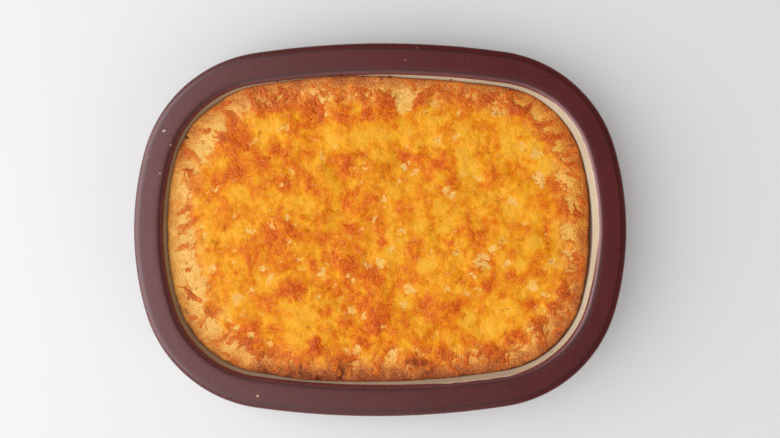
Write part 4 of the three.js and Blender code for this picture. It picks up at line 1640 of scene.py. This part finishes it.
# %% [markdown]
# ## Floor, light and picture tones
# The dish stands on a plain pale worktop, painted a little lighter on the left as painted window light. A
# large soft window on the left, a little to the front, lights it, and the room gives back soft light from all
# other sides. The picture's tones are kept plain, so that a surface in full light comes out as its own
# colour.

# %% Floor
FAR = 4.0  # metres from the middle to each edge of the worktop
# painted light: the worktop is a little lighter on the left, the window's side
FLOOR_LEFT = tone(235, 236, 236)
FLOOR_RIGHT = tone(230, 229, 229)


def floor_finish():
    material, tree, shader = new_finish("pale worktop", **{"Roughness": 0.55, "Specular IOR Level": 0.2})
    clouds = noise(tree, 260, 3)
    across, _, _ = parts(tree, object_place(tree))
    # lighter to the left as painted window light, with faint clouds
    colour = ramp(tree, share(across, -0.3, 0.3) + (clouds - 0.5) * 0.1, {0.0: FLOOR_LEFT, 1.0: FLOOR_RIGHT})
    feed(shader.inputs["Base Color"], colour)
    return material


floor_mesh = bpy.data.meshes.new("worktop")
floor_corners = [(-FAR, -FAR, 0), (FAR, -FAR, 0), (FAR, FAR, 0), (-FAR, FAR, 0)]
floor_mesh.from_pydata(floor_corners, [], [(0, 1, 2, 3)])
floor_mesh.materials.append(floor_finish())
put("worktop", floor_mesh)

# %% Light
WINDOW_PLACE = (-1.25, -0.1, 1.05)  # metres
SHEEN_PLACE = (-1.2, 0.0, 0.95)  # the same window, as the glaze mirrors it
WINDOW_SIZE = 1.8
SHEEN_POWER = 26
SHEEN_COLOUR = (1.0, 0.84, 0.93)
CEILING_PLACE = (-0.2, 0, 2.2)
CEILING_POWER = 11.6
WALL_PLACE = (1.1, -0.9, 1.3)  # a pale wall on the right that gives light back
WALL_POWER = 5
PANEL_SIZE = 1.3
PANEL_COLOUR = (1.0, 0.985, 0.97)
WINDOW_POWER = 12.6
DIM_ROOM = 0.15  # brightness of the room as the glaze mirrors it
BRIGHT_ROOM = 1.0  # the same above and to the left, by the window
FAR_ROOM = 0.8  # further down on that side
ROOM_WARM = (1.0, 0.96, 0.93, 1.0)
ROOM_COOL = (0.97, 0.98, 1.0, 1.0)


def soft_light(name, place, size, power, colour=(1, 1, 1)):
    """A square panel that faces the middle of the dish."""
    panel = bpy.data.lights.new(name, "AREA")
    panel.size = size
    panel.energy = power
    panel.color = colour
    lamp = put(name, panel)
    lamp.location = place
    lamp.rotation_euler = lamp.location.to_track_quat("Z", "Y").to_euler()
    return lamp


def room_light():
    """A dim room that is bright overhead on the window's side."""
    world = bpy.data.worlds.new("room")
    world.use_nodes = True
    tree = world.node_tree
    x, y, z = parts(tree, wire(add(tree, "ShaderNodeTexCoord"), "Generated"))
    left = share(x * -1 - y * 0.3, -0.08, 0.25)
    bright = share(z, 0.55, 0.85) * (BRIGHT_ROOM - FAR_ROOM) + FAR_ROOM
    to_the_sides = share(y.math("ABSOLUTE"), 0.0, 0.15) * 0.75 - 0.33
    glow = left * (share(z, 0.8, 0.9) * to_the_sides + 1)
    feed(tree.nodes["Background"].inputs["Strength"], glow * (bright - DIM_ROOM) + DIM_ROOM)
    feed(tree.nodes["Background"].inputs["Color"], blend(tree, left, ROOM_WARM, ROOM_COOL))
    bpy.context.scene.world = world


room_light()
window_light = soft_light("window", WINDOW_PLACE, WINDOW_SIZE, WINDOW_POWER)
sheen = soft_light("window sheen", SHEEN_PLACE, WINDOW_SIZE, SHEEN_POWER, SHEEN_COLOUR)
sheen.visible_diffuse = False
ceiling = soft_light("ceiling", CEILING_PLACE, PANEL_SIZE, CEILING_POWER, PANEL_COLOUR)
wall = soft_light("pale wall", WALL_PLACE, PANEL_SIZE, WALL_POWER, PANEL_COLOUR)
for lamp in (window_light, ceiling, wall):
    lamp.visible_glossy = False
bpy.context.scene.view_settings.view_transform = "Standard"

# %% [markdown]
# ## Hand over
# Every piece rides on the one body, and the imported solid that it stands for is hidden.

# %% Ride and replace
def hand_over(piece, node):
    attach(piece, "root")
    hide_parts(node)


hand_over(dish, "baking_dish")
hand_over(bake, "bready_bake")
hand_over(cheese, "melted_cheese")
hand_over(shreds, "melted_cheese")
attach(crumbs, "root")
